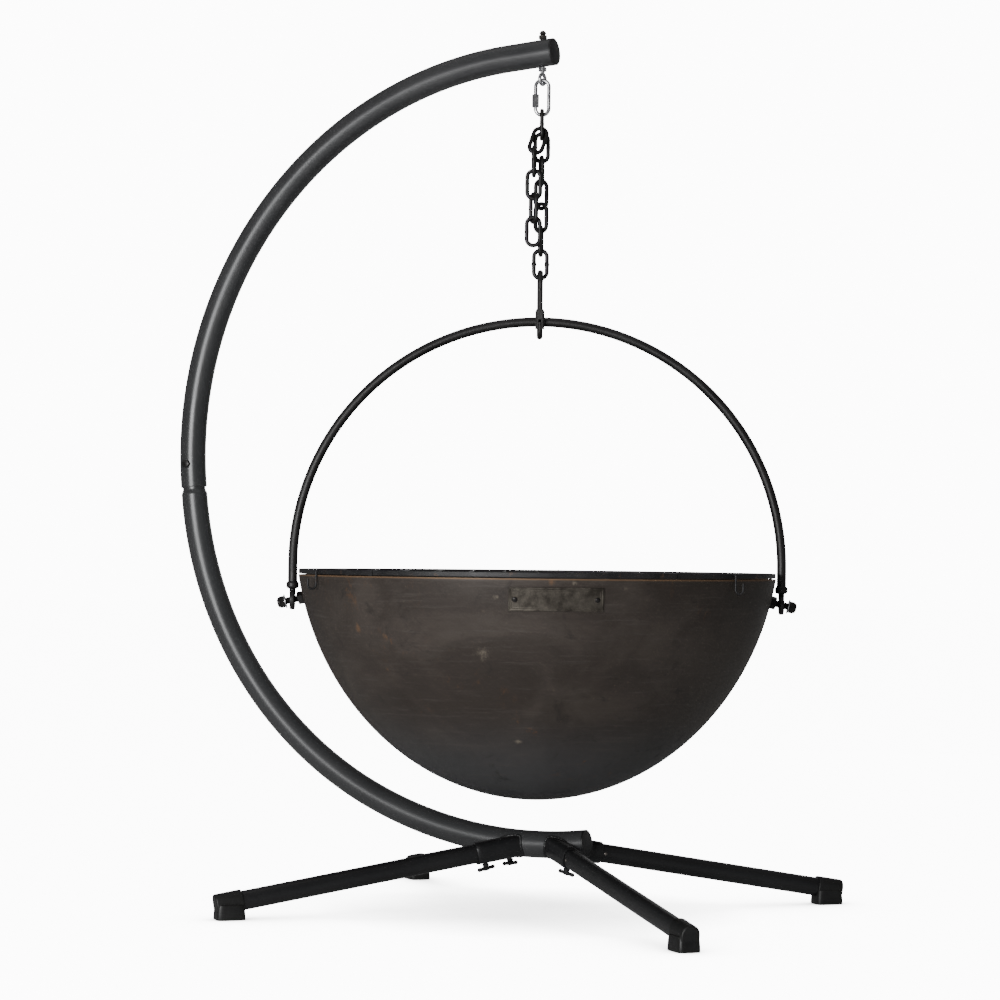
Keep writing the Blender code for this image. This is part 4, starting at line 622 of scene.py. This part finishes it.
QUICK = (0.0591, 0.0224)
QUICK_WIRE = 0.0032
quick_low = joint_at["top_link_swing"]
quick_middle = quick_low + UP * 0.5 * QUICK[0]
perimeter = 2.0 * (QUICK[0] - QUICK[1]) + math.pi * QUICK[1]
gap_at = 0.5 + 0.0055 / perimeter
half_gap = 0.0045 / perimeter
x, z = stadium(*QUICK, 97, gap_at + half_gap, gap_at + 1.0 - half_gap)
quick_path = quick_middle + x[:, None] * across_bail + z[:, None] * UP
mesh_piece("quick_link_rod", [(carry(quick_path, ring(QUICK_WIRE, 24), into_bail), *CAPPED)],
           bright_zinc, "quick_link", ("quick_link_body",))
sleeve_base = quick_middle - across_bail * 0.5 * QUICK[1] - UP * (0.0055 + 0.01075)
mesh_piece("quick_link_nut", [(hexagon_grid(sleeve_base, UP, 0.0105, 0.0215, QUICK_WIRE + 0.0003, turn=0.1),
           *LOOPED)], bright_zinc, "quick_sleeve", ("quick_link_sleeve",))


# --------------------------------------------------------------------------------------------
# Chain: welded steel links with a black coat, worn to bare steel where they rub. The loaded
# strand runs down from the top link; the spare links hang beside it.
# --------------------------------------------------------------------------------------------
def worn_black(name, dark, light, bare, roughness, scale, amount):
    """Black coat over steel: where noise passes amount, small rubbed places show bare."""
    material = coated(name, dark, light, roughness, metallic=0.3, patch=scale, grain=900.0, bump=0.5,
                      bump_distance=0.0005)
    tree = material.node_tree
    shader = tree.nodes["Principled BSDF"]
    place = add_node(tree, "TexCoord").outputs["Object"]
    rub = add_node(tree, "TexNoise", {"Vector": place, "Scale": 2.3 * scale, "Detail": 6.0, "Roughness": 0.7})
    rubbed = ramp(tree, rub.outputs["Fac"], (amount, (0.0, 0.0, 0.0)), (amount + 0.10, (1.0, 1.0, 1.0)))
    coat = shader.inputs["Base Color"].links[0].from_socket
    mix = add_node(tree, "Mix", {"Factor": rubbed, "A": coat, "B": bare}, data_type="RGBA")
    feed(tree, shader, {"Base Color": mix.outputs["Result"]})
    return material

chain_black = worn_black("black_chain_coat", (0.009, 0.009, 0.009), (0.016, 0.015, 0.015),
                         (0.09, 0.085, 0.08), 0.40, 60.0, 0.63)

LINK = (0.0472, 0.022)
LINK_WIRE = 0.0036


def chain_link(name, top, down, wide, body, node, weld=0.10):
    """A welded link: round wire round a stadium, with a bead of weld on each leg. The wire's
    radius grows by weld times a bell curve at the middle of each leg."""
    down = unit(down)
    wide = unit(np.asarray(wide) - down * np.dot(wide, down))
    x, z = stadium(*LINK, 96)
    path = top + down * 0.5 * LINK[0] + x[:, None] * wide - z[:, None] * down
    swell = 1.0 + weld * np.exp(-(z / 0.0022) ** 2) * (np.abs(x) > 0.0109)
    grid = carry(path, ring(LINK_WIRE * swell, 24), np.cross(wide, down), closed=True)
    mesh_piece(name, [(grid, *LOOPED)], chain_black, body, (node,))


MAIN_TWISTS = (0.0, 86.0, 172.0, 237.3, 302.7, 368.0, 448.0)
link_pitch = joint_at["link_1_twist"] - joint_at["link_2_twist"]
chain_link("link_top", joint_at["link_1_twist"] + link_pitch, -UP, turned_from_into(MAIN_TWISTS[0]),
           "top_link", "chain_top_link")
for k, twist in enumerate(MAIN_TWISTS[1:], 1):
    chain_link("link_%d" % k, joint_at["link_%d_twist" % k], -UP, turned_from_into(twist), "link_%d" % k,
               "chain_link_%d" % k, 0.10 if k < 6 else 0.28)
tail_top = joint_at["tail_1_swing"]
tail_low = joint_at["tail_2_twist"]
lean = tail_low - UP * 0.00864 - tail_top
chain_link("tail_link_1", tail_top, lean, across_bail, "tail_1", "chain_tail_link_1")
for k, twist in enumerate((3.65, 90.0, -24.5, 90.5), 2):
    chain_link("tail_link_%d" % k, joint_at["tail_%d_twist" % k], -UP, turned_from_into(twist),
               "tail_%d" % k, "chain_tail_link_%d" % k)


# --------------------------------------------------------------------------------------------
# Snap hook: a pear of black coated rod, edge-on to the bowl's front, whose gate swings in on a
# pin. The bail lies between its sides at the narrow end.
# --------------------------------------------------------------------------------------------
bail_black = worn_black("black_heatproof_coat", (0.013, 0.012, 0.012), (0.021, 0.020, 0.020),
                        (0.05, 0.045, 0.042), 0.42, 18.0, 0.66)
HOOK_WIRE = 0.005
HOOK_TOP = 0.018
HOOK_SEAT = 0.0124
HOOK_LENGTH = 0.1078
hook_top = joint_at["hook_twist"][2]
top_centre = hook_top - HOOK_TOP
seat_centre = hook_top - HOOK_LENGTH + HOOK_SEAT
slope = math.asin((HOOK_TOP - HOOK_SEAT) / (top_centre - seat_centre))
gate_side = turned_from_into(540.0)


def pear(centre, radius, start, end, count):
    """Arc of the hook's pear shape: out = radius cos, up = centre + radius sin."""
    angle = np.linspace(start, end, count)
    return np.stack([radius * np.cos(angle), centre + radius * np.sin(angle)], -1)


def pear_side(height):
    """Distance of the pear's straight side from the chain line at a height."""
    return (HOOK_SEAT + (height - seat_centre) * math.sin(slope)) / math.cos(slope)


low, high = seat_centre - 0.002, top_centre + 0.002
pear_path = np.concatenate([[(pear_side(low), low)], pear(seat_centre, HOOK_SEAT, -0.22, slope - math.pi, 28),
                            pear(top_centre, HOOK_TOP, math.pi - 0.5 * slope, 0.26, 32),
                            [(pear_side(high), high)]])
hook_path = chain_line + pear_path[:, :1] * gate_side + pear_path[:, 1:] * UP
hook_grid = carry(hook_path, ring(HOOK_WIRE, 28), np.cross(gate_side, UP))
lean_up = unit(gate_side * math.sin(slope) + UP * math.cos(slope))


def slab(start, end, wide, deep, side):
    """A flat tongue between two points, with rounded edges."""
    steps = np.linspace(0.0, 1.0, 12)
    size = np.clip(np.sqrt(np.clip(1.0 - (2.0 * steps - 1.0) ** 14, 0.0, 1.0)), 0.02, 1.0)
    return carry(start + steps[:, None] * (end - start),
                 size[:, None, None] * rounded_box(wide, deep, 5.0, 40),
                 side)


cross = np.cross(gate_side, UP)
low_point = chain_line + gate_side * pear_side(low) + UP * low
high_point = chain_line + gate_side * pear_side(high) + UP * high
tongue_low = slab(low_point - lean_up * 0.004, joint_at["gate_open"] + lean_up * 0.0045,
                  0.0023, 0.0038, cross)
tongue_high = slab(high_point + lean_up * 0.003, high_point - lean_up * 0.0138, 0.0023, 0.0038, cross)
mesh_piece("hook_rod", [(hook_grid, *CAPPED), (tongue_low, *CAPPED),
           (tongue_high, *CAPPED)], bail_black, "hook", ("snap_hook_body",))
for node in ("snap_hook_gate", "snap_hook_pin"):
    gate = frame["nodes"][node]
    gate.data.materials.clear()
    gate.data.materials.append(bail_black)


# --------------------------------------------------------------------------------------------
# Bail: one round rod bent to a half circle, drawn down under a forged collar at each end to a
# flat eye for the pivot bolt. Black heat-proof coat.
# --------------------------------------------------------------------------------------------
BAIL_RADIUS = 0.4135
BAIL_ROD = 0.008
bail_top = joint_at["bail_swing"]
pivot = joint_at["bowl_tilt"]
bail_centre = bail_top - UP * BAIL_RADIUS


def bail_radius(rise):
    """Rod radius at a height above the pivot: a thin neck, the rounded collar, then the rod."""
    neck = 0.0052
    bulge = np.sqrt(np.clip(1.0 - ((rise - 0.025) / 0.0072) ** 4, 0.0, 1.0))
    body = np.where(rise < 0.025, neck, BAIL_ROD)
    return np.maximum(body, 0.0107 * bulge * (rise > 0.0178) * (rise < 0.0322))


rises = np.concatenate([[0.010, 0.014, 0.0170], np.linspace(0.0178, 0.0325, 26), [0.034, 0.045]])
leg = pivot + across_bail * BAIL_RADIUS + rises[:, None] * UP
angle = np.linspace(0.0, math.pi, 180)
arc_path = bail_centre + BAIL_RADIUS * (np.cos(angle)[:, None] * across_bail + np.sin(angle)[:, None] * UP)
other = pivot - across_bail * BAIL_RADIUS + rises[::-1, None] * UP
radii = np.concatenate([bail_radius(rises), np.full(180, BAIL_ROD), bail_radius(rises[::-1])])
bail_grids = [(carry(np.concatenate([leg, arc_path, other]), ring(radii, 32), into_bail), *CAPPED)]
for sign in (-1.0, 1.0):
    eye = pivot + across_bail * sign * BAIL_RADIUS
    turn = np.linspace(0.0, 2.0 * math.pi, 24, endpoint=False)
    c, s = np.cos(turn), np.sin(turn)
    thick = 0.0041 * np.sign(s) * np.abs(s) ** 0.45
    wide = 0.0124 + 0.0046 * np.sign(c) * np.abs(c) ** 0.45
    bail_grids.append((spun(eye, across_bail, thick, wide, 56), *LOOPED))
mesh_piece("bail_rod", bail_grids, bail_black, "bail", ("bail",))


# --------------------------------------------------------------------------------------------
# Bowl: one dished sheet of raw steel, 3 mm thick, waxed but with mill scale, brushed bare
# patches and light rust left in it. Its rim is cut square and lightly broken.
# --------------------------------------------------------------------------------------------
BOWL = (0.4096, 0.4597)
RIM_BELOW_WIDEST = 0.083
BOWL_WALL = 0.003
rim = np.array(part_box("bowl"))[1, 2]


def wall_radius(height, inset=0.0):
    """Radius of the bowl at a height: an ellipse whose widest ring is above the rim."""
    below = (rim + RIM_BELOW_WIDEST - height) / (BOWL[1] - inset)
    return (BOWL[0] - inset) * np.sqrt(np.clip(1.0 - below ** 2, 0.0, 1.0))


def bowl_profile(inset, count):
    """Heights and radii of one face of the wall, from the pole up to just under the rim."""
    start = math.asin(RIM_BELOW_WIDEST / (BOWL[1] - inset))
    turn = np.linspace(0.5 * math.pi, start, count)
    return (rim + RIM_BELOW_WIDEST - (BOWL[1] - inset) * np.sin(turn), (BOWL[0] - inset) * np.cos(turn))


outer_h, outer_r = bowl_profile(0.0, 90)
inner_h, inner_r = bowl_profile(BOWL_WALL, 90)
outer_h[-1] -= 0.0005
inner_h[-1] -= 0.0005
rim_h = np.array((rim - 0.0001, rim, rim, rim - 0.0001))
rim_r = outer_r[-1] - np.array((0.0001, 0.0005, BOWL_WALL - 0.0005, BOWL_WALL - 0.0001))
bowl_grid = spun(chain_line, UP, np.concatenate([outer_h, rim_h, inner_h[::-1]]),
                 np.concatenate([outer_r, rim_r, inner_r[::-1]]), 224)


def bowl_place(degrees, drop):
    """Point on the bowl's outside at an angle right of its front and a depth below the rim."""
    turn = math.radians(degrees)
    out = across_bail * math.sin(turn) - into_bail * math.cos(turn)
    return chain_line + out * wall_radius(rim - drop) + UP * (rim - drop)


def raw_steel_material():
    """Raw steel: brown mill scale, a lighter, bluer grey towards the bottom, brushed rings, pale scuffs and
    rust freckles.
    """
    material = bpy.data.materials.new("waxed_raw_steel")
    material.use_nodes = True
    tree = material.node_tree
    place = add_node(tree, "TexCoord").outputs["Object"]

    def noise(scale, detail, roughness=0.55, stretch=(1.0, 1.0, 1.0), distortion=0.0):
        """Noise on Object coordinates, stretched along the axes."""
        lay = add_node(tree, "Mapping", {"Vector": place, "Scale": stretch})
        made = add_node(tree, "TexNoise", {"Vector": lay.outputs["Vector"], "Scale": scale, "Detail": detail,
                                           "Roughness": roughness, "Distortion": distortion})
        return made.outputs["Fac"]

    def step(value, low, high):
        """0 below low and 1 above high, smooth between."""
        return add_node(tree, "MapRange", {"Value": value, "From Min": low, "From Max": high},
                        interpolation_type="SMOOTHSTEP").outputs["Result"]

    def times(a, b):
        """Product of two masks, or of a mask and a number."""
        return add_node(tree, "Math", {0: a, 1: b}, operation="MULTIPLY").outputs["Value"]

    def blend(a, b, mask):
        """Colour a to colour b by a mask."""
        return add_node(tree, "Mix", {"A": a, "B": b, "Factor": mask}, data_type="RGBA").outputs["Result"]

    def near(degrees, drop, reach, ragged=0.6):
        """A mask about a place on the bowl, broken up by noise at its edge."""
        far = add_node(tree, "VectorMath", {0: place, 1: tuple(bowl_place(degrees, drop))},
                       operation="DISTANCE")
        rough = add_node(tree, "Math", {0: noise(38.0, 6.0, 0.75, (1.0, 1.0, 0.45)), 1: -2.0 * ragged * reach,
                                        2: far.outputs["Value"]}, operation="MULTIPLY_ADD")
        return step(rough.outputs["Value"], reach * (0.25 - ragged), -reach * (0.35 + ragged) * 0.9)

    height = add_node(tree, "SeparateXYZ", {"Vector": place}).outputs["Z"]
    cloud = noise(5.5, 6.0, 0.6, (1.0, 1.0, 1.6), 0.6)
    brushed = noise(26.0, 5.0, 0.65, (0.35, 0.35, 6.0))
    scale_spots = noise(14.0, 7.0, 0.7, (1.0, 1.0, 1.3), 1.2)
    fine = noise(160.0, 3.0, 0.6, (1.0, 1.0, 0.6))
    rust = times(step(noise(3.2, 4.0, 0.6), 0.50, 0.66),
                 step(noise(34.0, 8.0, 0.8, (1.0, 1.0, 0.5)), 0.55, 0.66))
    # the first layer turns the wall a lighter, bluer grey towards the bottom
    layers = [((0.066, 0.067, 0.071), step(height, rim - 0.20, rim - 0.34), 0.85),
              ((0.085, 0.076, 0.068), step(brushed, 0.52, 0.80), 0.55),
              ((0.022, 0.019, 0.017), step(scale_spots, 0.56, 0.72), 0.6),
              ((0.11, 0.085, 0.062), step(fine, 0.62, 0.80), 0.35),
              ((0.17, 0.085, 0.035), rust, 0.55)]
    layers += [((0.30, 0.26, 0.20), near(*mark), 0.9) for mark in SCUFFS]
    layers += [((0.17, 0.095, 0.048), near(*mark, 0.9), 0.6) for mark in RUST_MARKS]
    layers.append(((0.20, 0.12, 0.065), step(height, rim - 0.0035, rim - 0.0005), 0.8))
    base = blend((0.040, 0.032, 0.027), (0.064, 0.053, 0.045), step(cloud, 0.35, 0.65))
    for colour, mask, share in layers:
        base = blend(base, colour, times(mask, share))
    shine = add_node(tree, "MapRange", {"Value": cloud, "From Min": 0.3, "From Max": 0.7,
                                        "To Min": 0.50, "To Max": 0.66})
    relief = add_node(tree, "Bump", {"Strength": 0.25, "Distance": 0.0006, "Height": brushed})
    pitted = add_node(tree, "Bump", {"Strength": 0.2, "Distance": 0.0004, "Height": fine,
                                     "Normal": relief.outputs["Normal"]})
    feed(tree, tree.nodes["Principled BSDF"],
         {"Base Color": base, "Roughness": shine.outputs["Result"], "Metallic": 0.25,
          "Specular IOR Level": 0.35, "Normal": pitted.outputs["Normal"]})
    return material

# degrees right of the front, depth below the rim and reach of each mark
SCUFFS = ((-13.6, 0.116, 0.056), (-9.4, 0.029, 0.026), (8.0, 0.006, 0.022), (20.0, 0.014, 0.020),
          (-6.0, 0.262, 0.030))
RUST_MARKS = ((-49.0, 0.085, 0.028), (-40.0, 0.095, 0.026), (-43.0, 0.15, 0.020), (3.0, 0.004, 0.018))
raw_steel = raw_steel_material()
mesh_piece("bowl_shell", [(bowl_grid, *TURNED)], raw_steel, "bowl", ("bowl",))


# --------------------------------------------------------------------------------------------
# Pivots: on each side an M12 bolt from inside the bowl, clamped by an inner nut, carries the
# bail's eye, and a washer and a lock nut stop the eye from coming off.
# --------------------------------------------------------------------------------------------
for sign, side in ((-1.0, "left"), (1.0, "right")):
    axis_point = pivot + across_bail * sign * BAIL_RADIUS
    height = pivot[2]
    for _ in range(6):
        below = rim + RIM_BELOW_WIDEST - height
        fall = math.atan2(below / BOWL[1] ** 2, wall_radius(height) / BOWL[0] ** 2)
        height = pivot[2] + (BAIL_RADIUS - wall_radius(height)) * math.tan(fall)
    outward = across_bail * sign * math.cos(fall) - UP * math.sin(fall)
    back = (BAIL_RADIUS - wall_radius(height)) / math.cos(fall)
    inside = -back - BOWL_WALL - 0.0006
    lock_start = 0.0115 + 0.0016 + 0.0003
    head = hexagon_grid(axis_point + outward * inside, -outward, 0.019, 0.0075, 0.0)
    rod = threads(axis_point, outward, inside, lock_start + 0.0127, 0.006, 0.00175, 40)
    mesh_piece("pivot_bolt_%s_black" % side, [(head, *TURNED), (rod, *TURNED)],
               black_fastener, "bowl", ("pivot_bolt_" + side,))
    inner = hexagon_grid(axis_point - outward * (back - 0.0004), outward, 0.019, 0.0095, 0.0061, turn=0.35)
    mesh_piece("pivot_nut_" + side, [(inner, *LOOPED)], black_fastener, "bowl",
               ("pivot_inner_nut_" + side,))
    disc = spun(axis_point + outward * 0.0115, outward, [0.0, 0.0, 0.0003, 0.0013, 0.0016, 0.0016],
                [0.0063, 0.0116, 0.012, 0.012, 0.0116, 0.0063], 48)
    mesh_piece("pivot_disc_" + side, [(disc, *LOOPED)], bright_zinc, "bowl",
               ("pivot_washer_" + side,))
    lock = hexagon_grid(axis_point + outward * lock_start, outward, 0.019, 0.0085, 0.0061, turn=0.1)
    collar = spun(axis_point + outward * lock_start, outward, [0.0083, 0.0083, 0.0105, 0.0115, 0.0115],
                  [0.0061, 0.0085, 0.0085, 0.0078, 0.0061], 40)
    mesh_piece("pivot_lock_" + side, [(lock, *LOOPED), (collar, *LOOPED)],
               black_fastener, "bowl", ("pivot_lock_nut_" + side,))


# --------------------------------------------------------------------------------------------
# Nameplate: a small plate rolled to the bowl, with a raised double border and a blank, softly
# hammered field, held by two dark rivets.
# --------------------------------------------------------------------------------------------
PLATE = (0.150, 0.038)
PLATE_DROP = 0.0135
PLATE_TURN = math.radians(4.0)
PLATE_THICK = 0.0014


def bump_line(distance, centre, half):
    """1 within half of centre and 0 beyond it, with steep sides."""
    return np.clip(1.5 - np.abs(distance - centre) / half, 0.0, 1.0)


def plate_grid(lift):
    """The plate's face: u round the bowl and v down it, lifted off the wall by lift(u, v)."""
    u = np.linspace(-0.5, 0.5, 301)[None, :] * PLATE[0]
    v = np.linspace(0.0, 1.0, 91)[:, None] * PLATE[1] * 0.985
    height = rim - PLATE_DROP - v + 0.0 * u
    radius = wall_radius(height)
    below = rim + RIM_BELOW_WIDEST - height
    fall = np.arctan2(below / BOWL[1] ** 2, radius / BOWL[0] ** 2)
    turn = PLATE_TURN + u / radius
    out = np.sin(turn)[..., None] * across_bail - np.cos(turn)[..., None] * into_bail
    raise_by = lift(u + 0.0 * v, v + 0.0 * u)
    return (chain_line + out * (radius + raise_by * np.cos(fall))[..., None]
            + UP * (height - raise_by * np.sin(fall))[..., None])


def face_lift(u, v):
    """Border 1.6 mm wide at the edge and a fine line inside it, over a faintly beaten field."""
    edge = np.minimum(0.5 * PLATE[0] - np.abs(u), np.minimum(v, PLATE[1] * 0.985 - v))
    border = bump_line(edge, 0.0014, 0.0014) * 0.0007 + bump_line(edge, 0.0047, 0.0006) * 0.0004
    beaten = (0.00010 * np.sin(u * 1450.0 + 2.0 * np.sin(v * 900.0))
              * np.sin(v * 1300.0 + 1.5 * np.sin(u * 700.0)))
    field = np.clip((edge - 0.006) / 0.001, 0.0, 1.0)
    round_off = 0.0004 * (1.0 - np.clip(edge / 0.0004, 0.0, 1.0)) ** 2
    return PLATE_THICK + border + beaten * field - round_off


face, back_face = plate_grid(face_lift), plate_grid(lambda u, v: 0.0004 + 0.0 * u)
loop_rows = np.concatenate([face, back_face[::-1]])
plate_steel = coated("stamped_plate_steel", (0.050, 0.044, 0.036), (0.105, 0.094, 0.078), 0.45,
                     metallic=0.75, patch=70.0, grain=1200.0, bump=0.3, spread=0.1)
side_left = np.stack([face[:, 0], back_face[:, 0]], 1)
side_right = np.stack([face[:, -1], back_face[:, -1]], 1)
mesh_piece("nameplate_blank", [(loop_rows, True, False, False), (side_left, False, False, False),
           (side_right, False, False, False)], plate_steel, "bowl", ("nameplate",), 50.0)
for sign, side in ((-1.0, "left"), (1.0, "right")):
    height = rim - PLATE_DROP - 0.5 * PLATE[1]
    radius = wall_radius(height)
    fall = math.atan2((rim + RIM_BELOW_WIDEST - height) / BOWL[1] ** 2, radius / BOWL[0] ** 2)
    turn = PLATE_TURN + sign * (0.5 * PLATE[0] - 0.010) / radius
    flat_out = across_bail * math.sin(turn) - into_bail * math.cos(turn)
    outward = flat_out * math.cos(fall) - UP * math.sin(fall)
    arc = np.linspace(0.0, 0.5 * math.pi, 9)
    rivet = spun(chain_line + flat_out * radius + UP * height + outward * (PLATE_THICK + 0.0004), outward,
                 np.concatenate([[-0.0052, -0.0052, 0.0, 0.0], 0.0004 + 0.0018 * np.sin(arc)]),
                 np.concatenate([[0.0, 0.0022, 0.0022, 0.0042], 0.0042 * np.cos(arc)]), 32)
    mesh_piece("nameplate_stud_" + side, [(rivet, *TURNED)], black_fastener, "bowl",
               ("nameplate_rivet_" + side,))


# --------------------------------------------------------------------------------------------
# Grate: a ring of flat bar set on edge on the rim, in two lengths butted together, with small
# feet, round bars on two cross rods, and three wire hooks that hang over the rim.
# --------------------------------------------------------------------------------------------
grate_steel = worn_black("dark_raw_bar", (0.012, 0.012, 0.013), (0.024, 0.023, 0.024), (0.09, 0.055, 0.035),
                         0.50, 24.0, 0.60)
RING_HEIGHT, RING_THICK = 0.008, 0.005
RING_FEET = 0.0012
ring_radius = wall_radius(rim) - 0.0006 - 0.5 * RING_THICK
ring_low = rim + 0.0003 + RING_FEET


def around(degrees):
    """Horizontal directions at angles right of the bowl's front."""
    turn = np.radians(degrees)
    return (np.sin(turn)[..., None] * across_bail - np.cos(turn)[..., None] * into_bail)


def ring_bar(start, end, count):
    """Flat bar on edge, bent round between two angles."""
    path = (chain_line + around(np.linspace(start, end, count)) * ring_radius
            + UP * (ring_low + 0.5 * RING_HEIGHT))
    return carry(path, rounded_box(0.5 * RING_HEIGHT, 0.5 * RING_THICK, 9.0, 32), UP)


grate_grids = [(ring_bar(-40.9, 32.9, 70), *CAPPED), (ring_bar(33.1, 318.9, 240), *CAPPED)]
for degrees in (-50.0, -42.0, 33.0, 75.0, 150.0, 215.0):
    out = around(np.array(degrees))
    along = np.cross(out, UP)
    at = chain_line + out * ring_radius + UP * (rim + 0.0003)
    lug = carry(at + np.array((0.0, 0.0004, 0.0016, 0.0022))[:, None] * UP,
                np.array((0.94, 1.0, 1.0, 0.96))[:, None, None] * rounded_box(0.004, 0.0018, 7.0, 32), along)
    grate_grids.append((lug, *CAPPED))
for degrees in (-34.0, 45.0):
    out = around(np.array(degrees))
    strap_path = (chain_line
                  + around(degrees + np.linspace(-1.3, 1.3, 9)) * (ring_radius + 0.5 * RING_THICK - 0.0003)
                  + UP * (ring_low + 0.5 * RING_HEIGHT))
    grate_grids.append((carry(strap_path, rounded_box(0.0037, 0.0008, 7.0, 24), UP), *CAPPED))

BAR_RADIUS, CROSS_RADIUS = 0.0031, 0.0044
BAR_PITCH, BAR_COUNT = 0.056, 13
for offset in (np.arange(BAR_COUNT) - 0.5 * (BAR_COUNT - 1)) * BAR_PITCH:
    reach = math.sqrt(ring_radius ** 2 - offset ** 2)
    centre = chain_line + across_bail * offset + UP * (ring_low + RING_HEIGHT - BAR_RADIUS - 0.0003)
    span = np.linspace(-reach, reach, 24)
    grate_grids.append((carry(centre + span[:, None] * into_bail, ring(BAR_RADIUS, 16), UP), *CAPPED))
for sign in (-1.0, 1.0):
    reach = math.sqrt(ring_radius ** 2 - 0.17 ** 2)
    centre = chain_line + into_bail * sign * 0.17 + UP * (ring_low + CROSS_RADIUS * 0.72)
    span = np.linspace(-reach, reach, 24)
    grate_grids.append((carry(centre + span[:, None] * across_bail, ring(CROSS_RADIUS * 0.7, 16), UP),
                        *CAPPED))

HOOK_ROD, HOOK_CURL, HOOK_DROP, HOOK_END_DROP = 0.0018, 0.0145, 0.0225, 0.006
for degrees in (-63.0, 51.5, 174.0):
    out = around(np.array(degrees))
    half = 0.5 * HOOK_CURL
    stand = wall_radius(rim) + 0.0011 + HOOK_ROD
    low = rim - HOOK_DROP + half
    corner_r = 0.0035
    turn = np.linspace(0.5 * math.pi, 0.0, 9)
    top = ring_low + 0.85 * RING_HEIGHT
    shoulder = np.stack([stand - corner_r + corner_r * np.cos(turn),
                         top - corner_r + corner_r * np.sin(turn)], -1)
    start = np.array([[ring_radius, top]])
    drop_line = np.stack([np.full(8, stand), np.linspace(top - corner_r, low, 10)[1:-1]], -1)
    bend = np.linspace(0.0, math.pi, 25)
    curl = np.stack([stand + half - half * np.cos(bend), low - half * np.sin(bend)], -1)
    free_end = np.stack([np.full(5, stand + 2.0 * half), np.linspace(low, rim - HOOK_END_DROP, 6)[1:]], -1)
    local = np.concatenate([start, shoulder, drop_line, curl, free_end])
    path = chain_line + local[:, :1] * out + local[:, 1:] * UP
    grate_grids.append((carry(path, ring(HOOK_ROD, 16), np.cross(out, UP)), *CAPPED))
mesh_piece("grate_ring_and_bars", grate_grids, grate_steel, "grate", ("grate",))
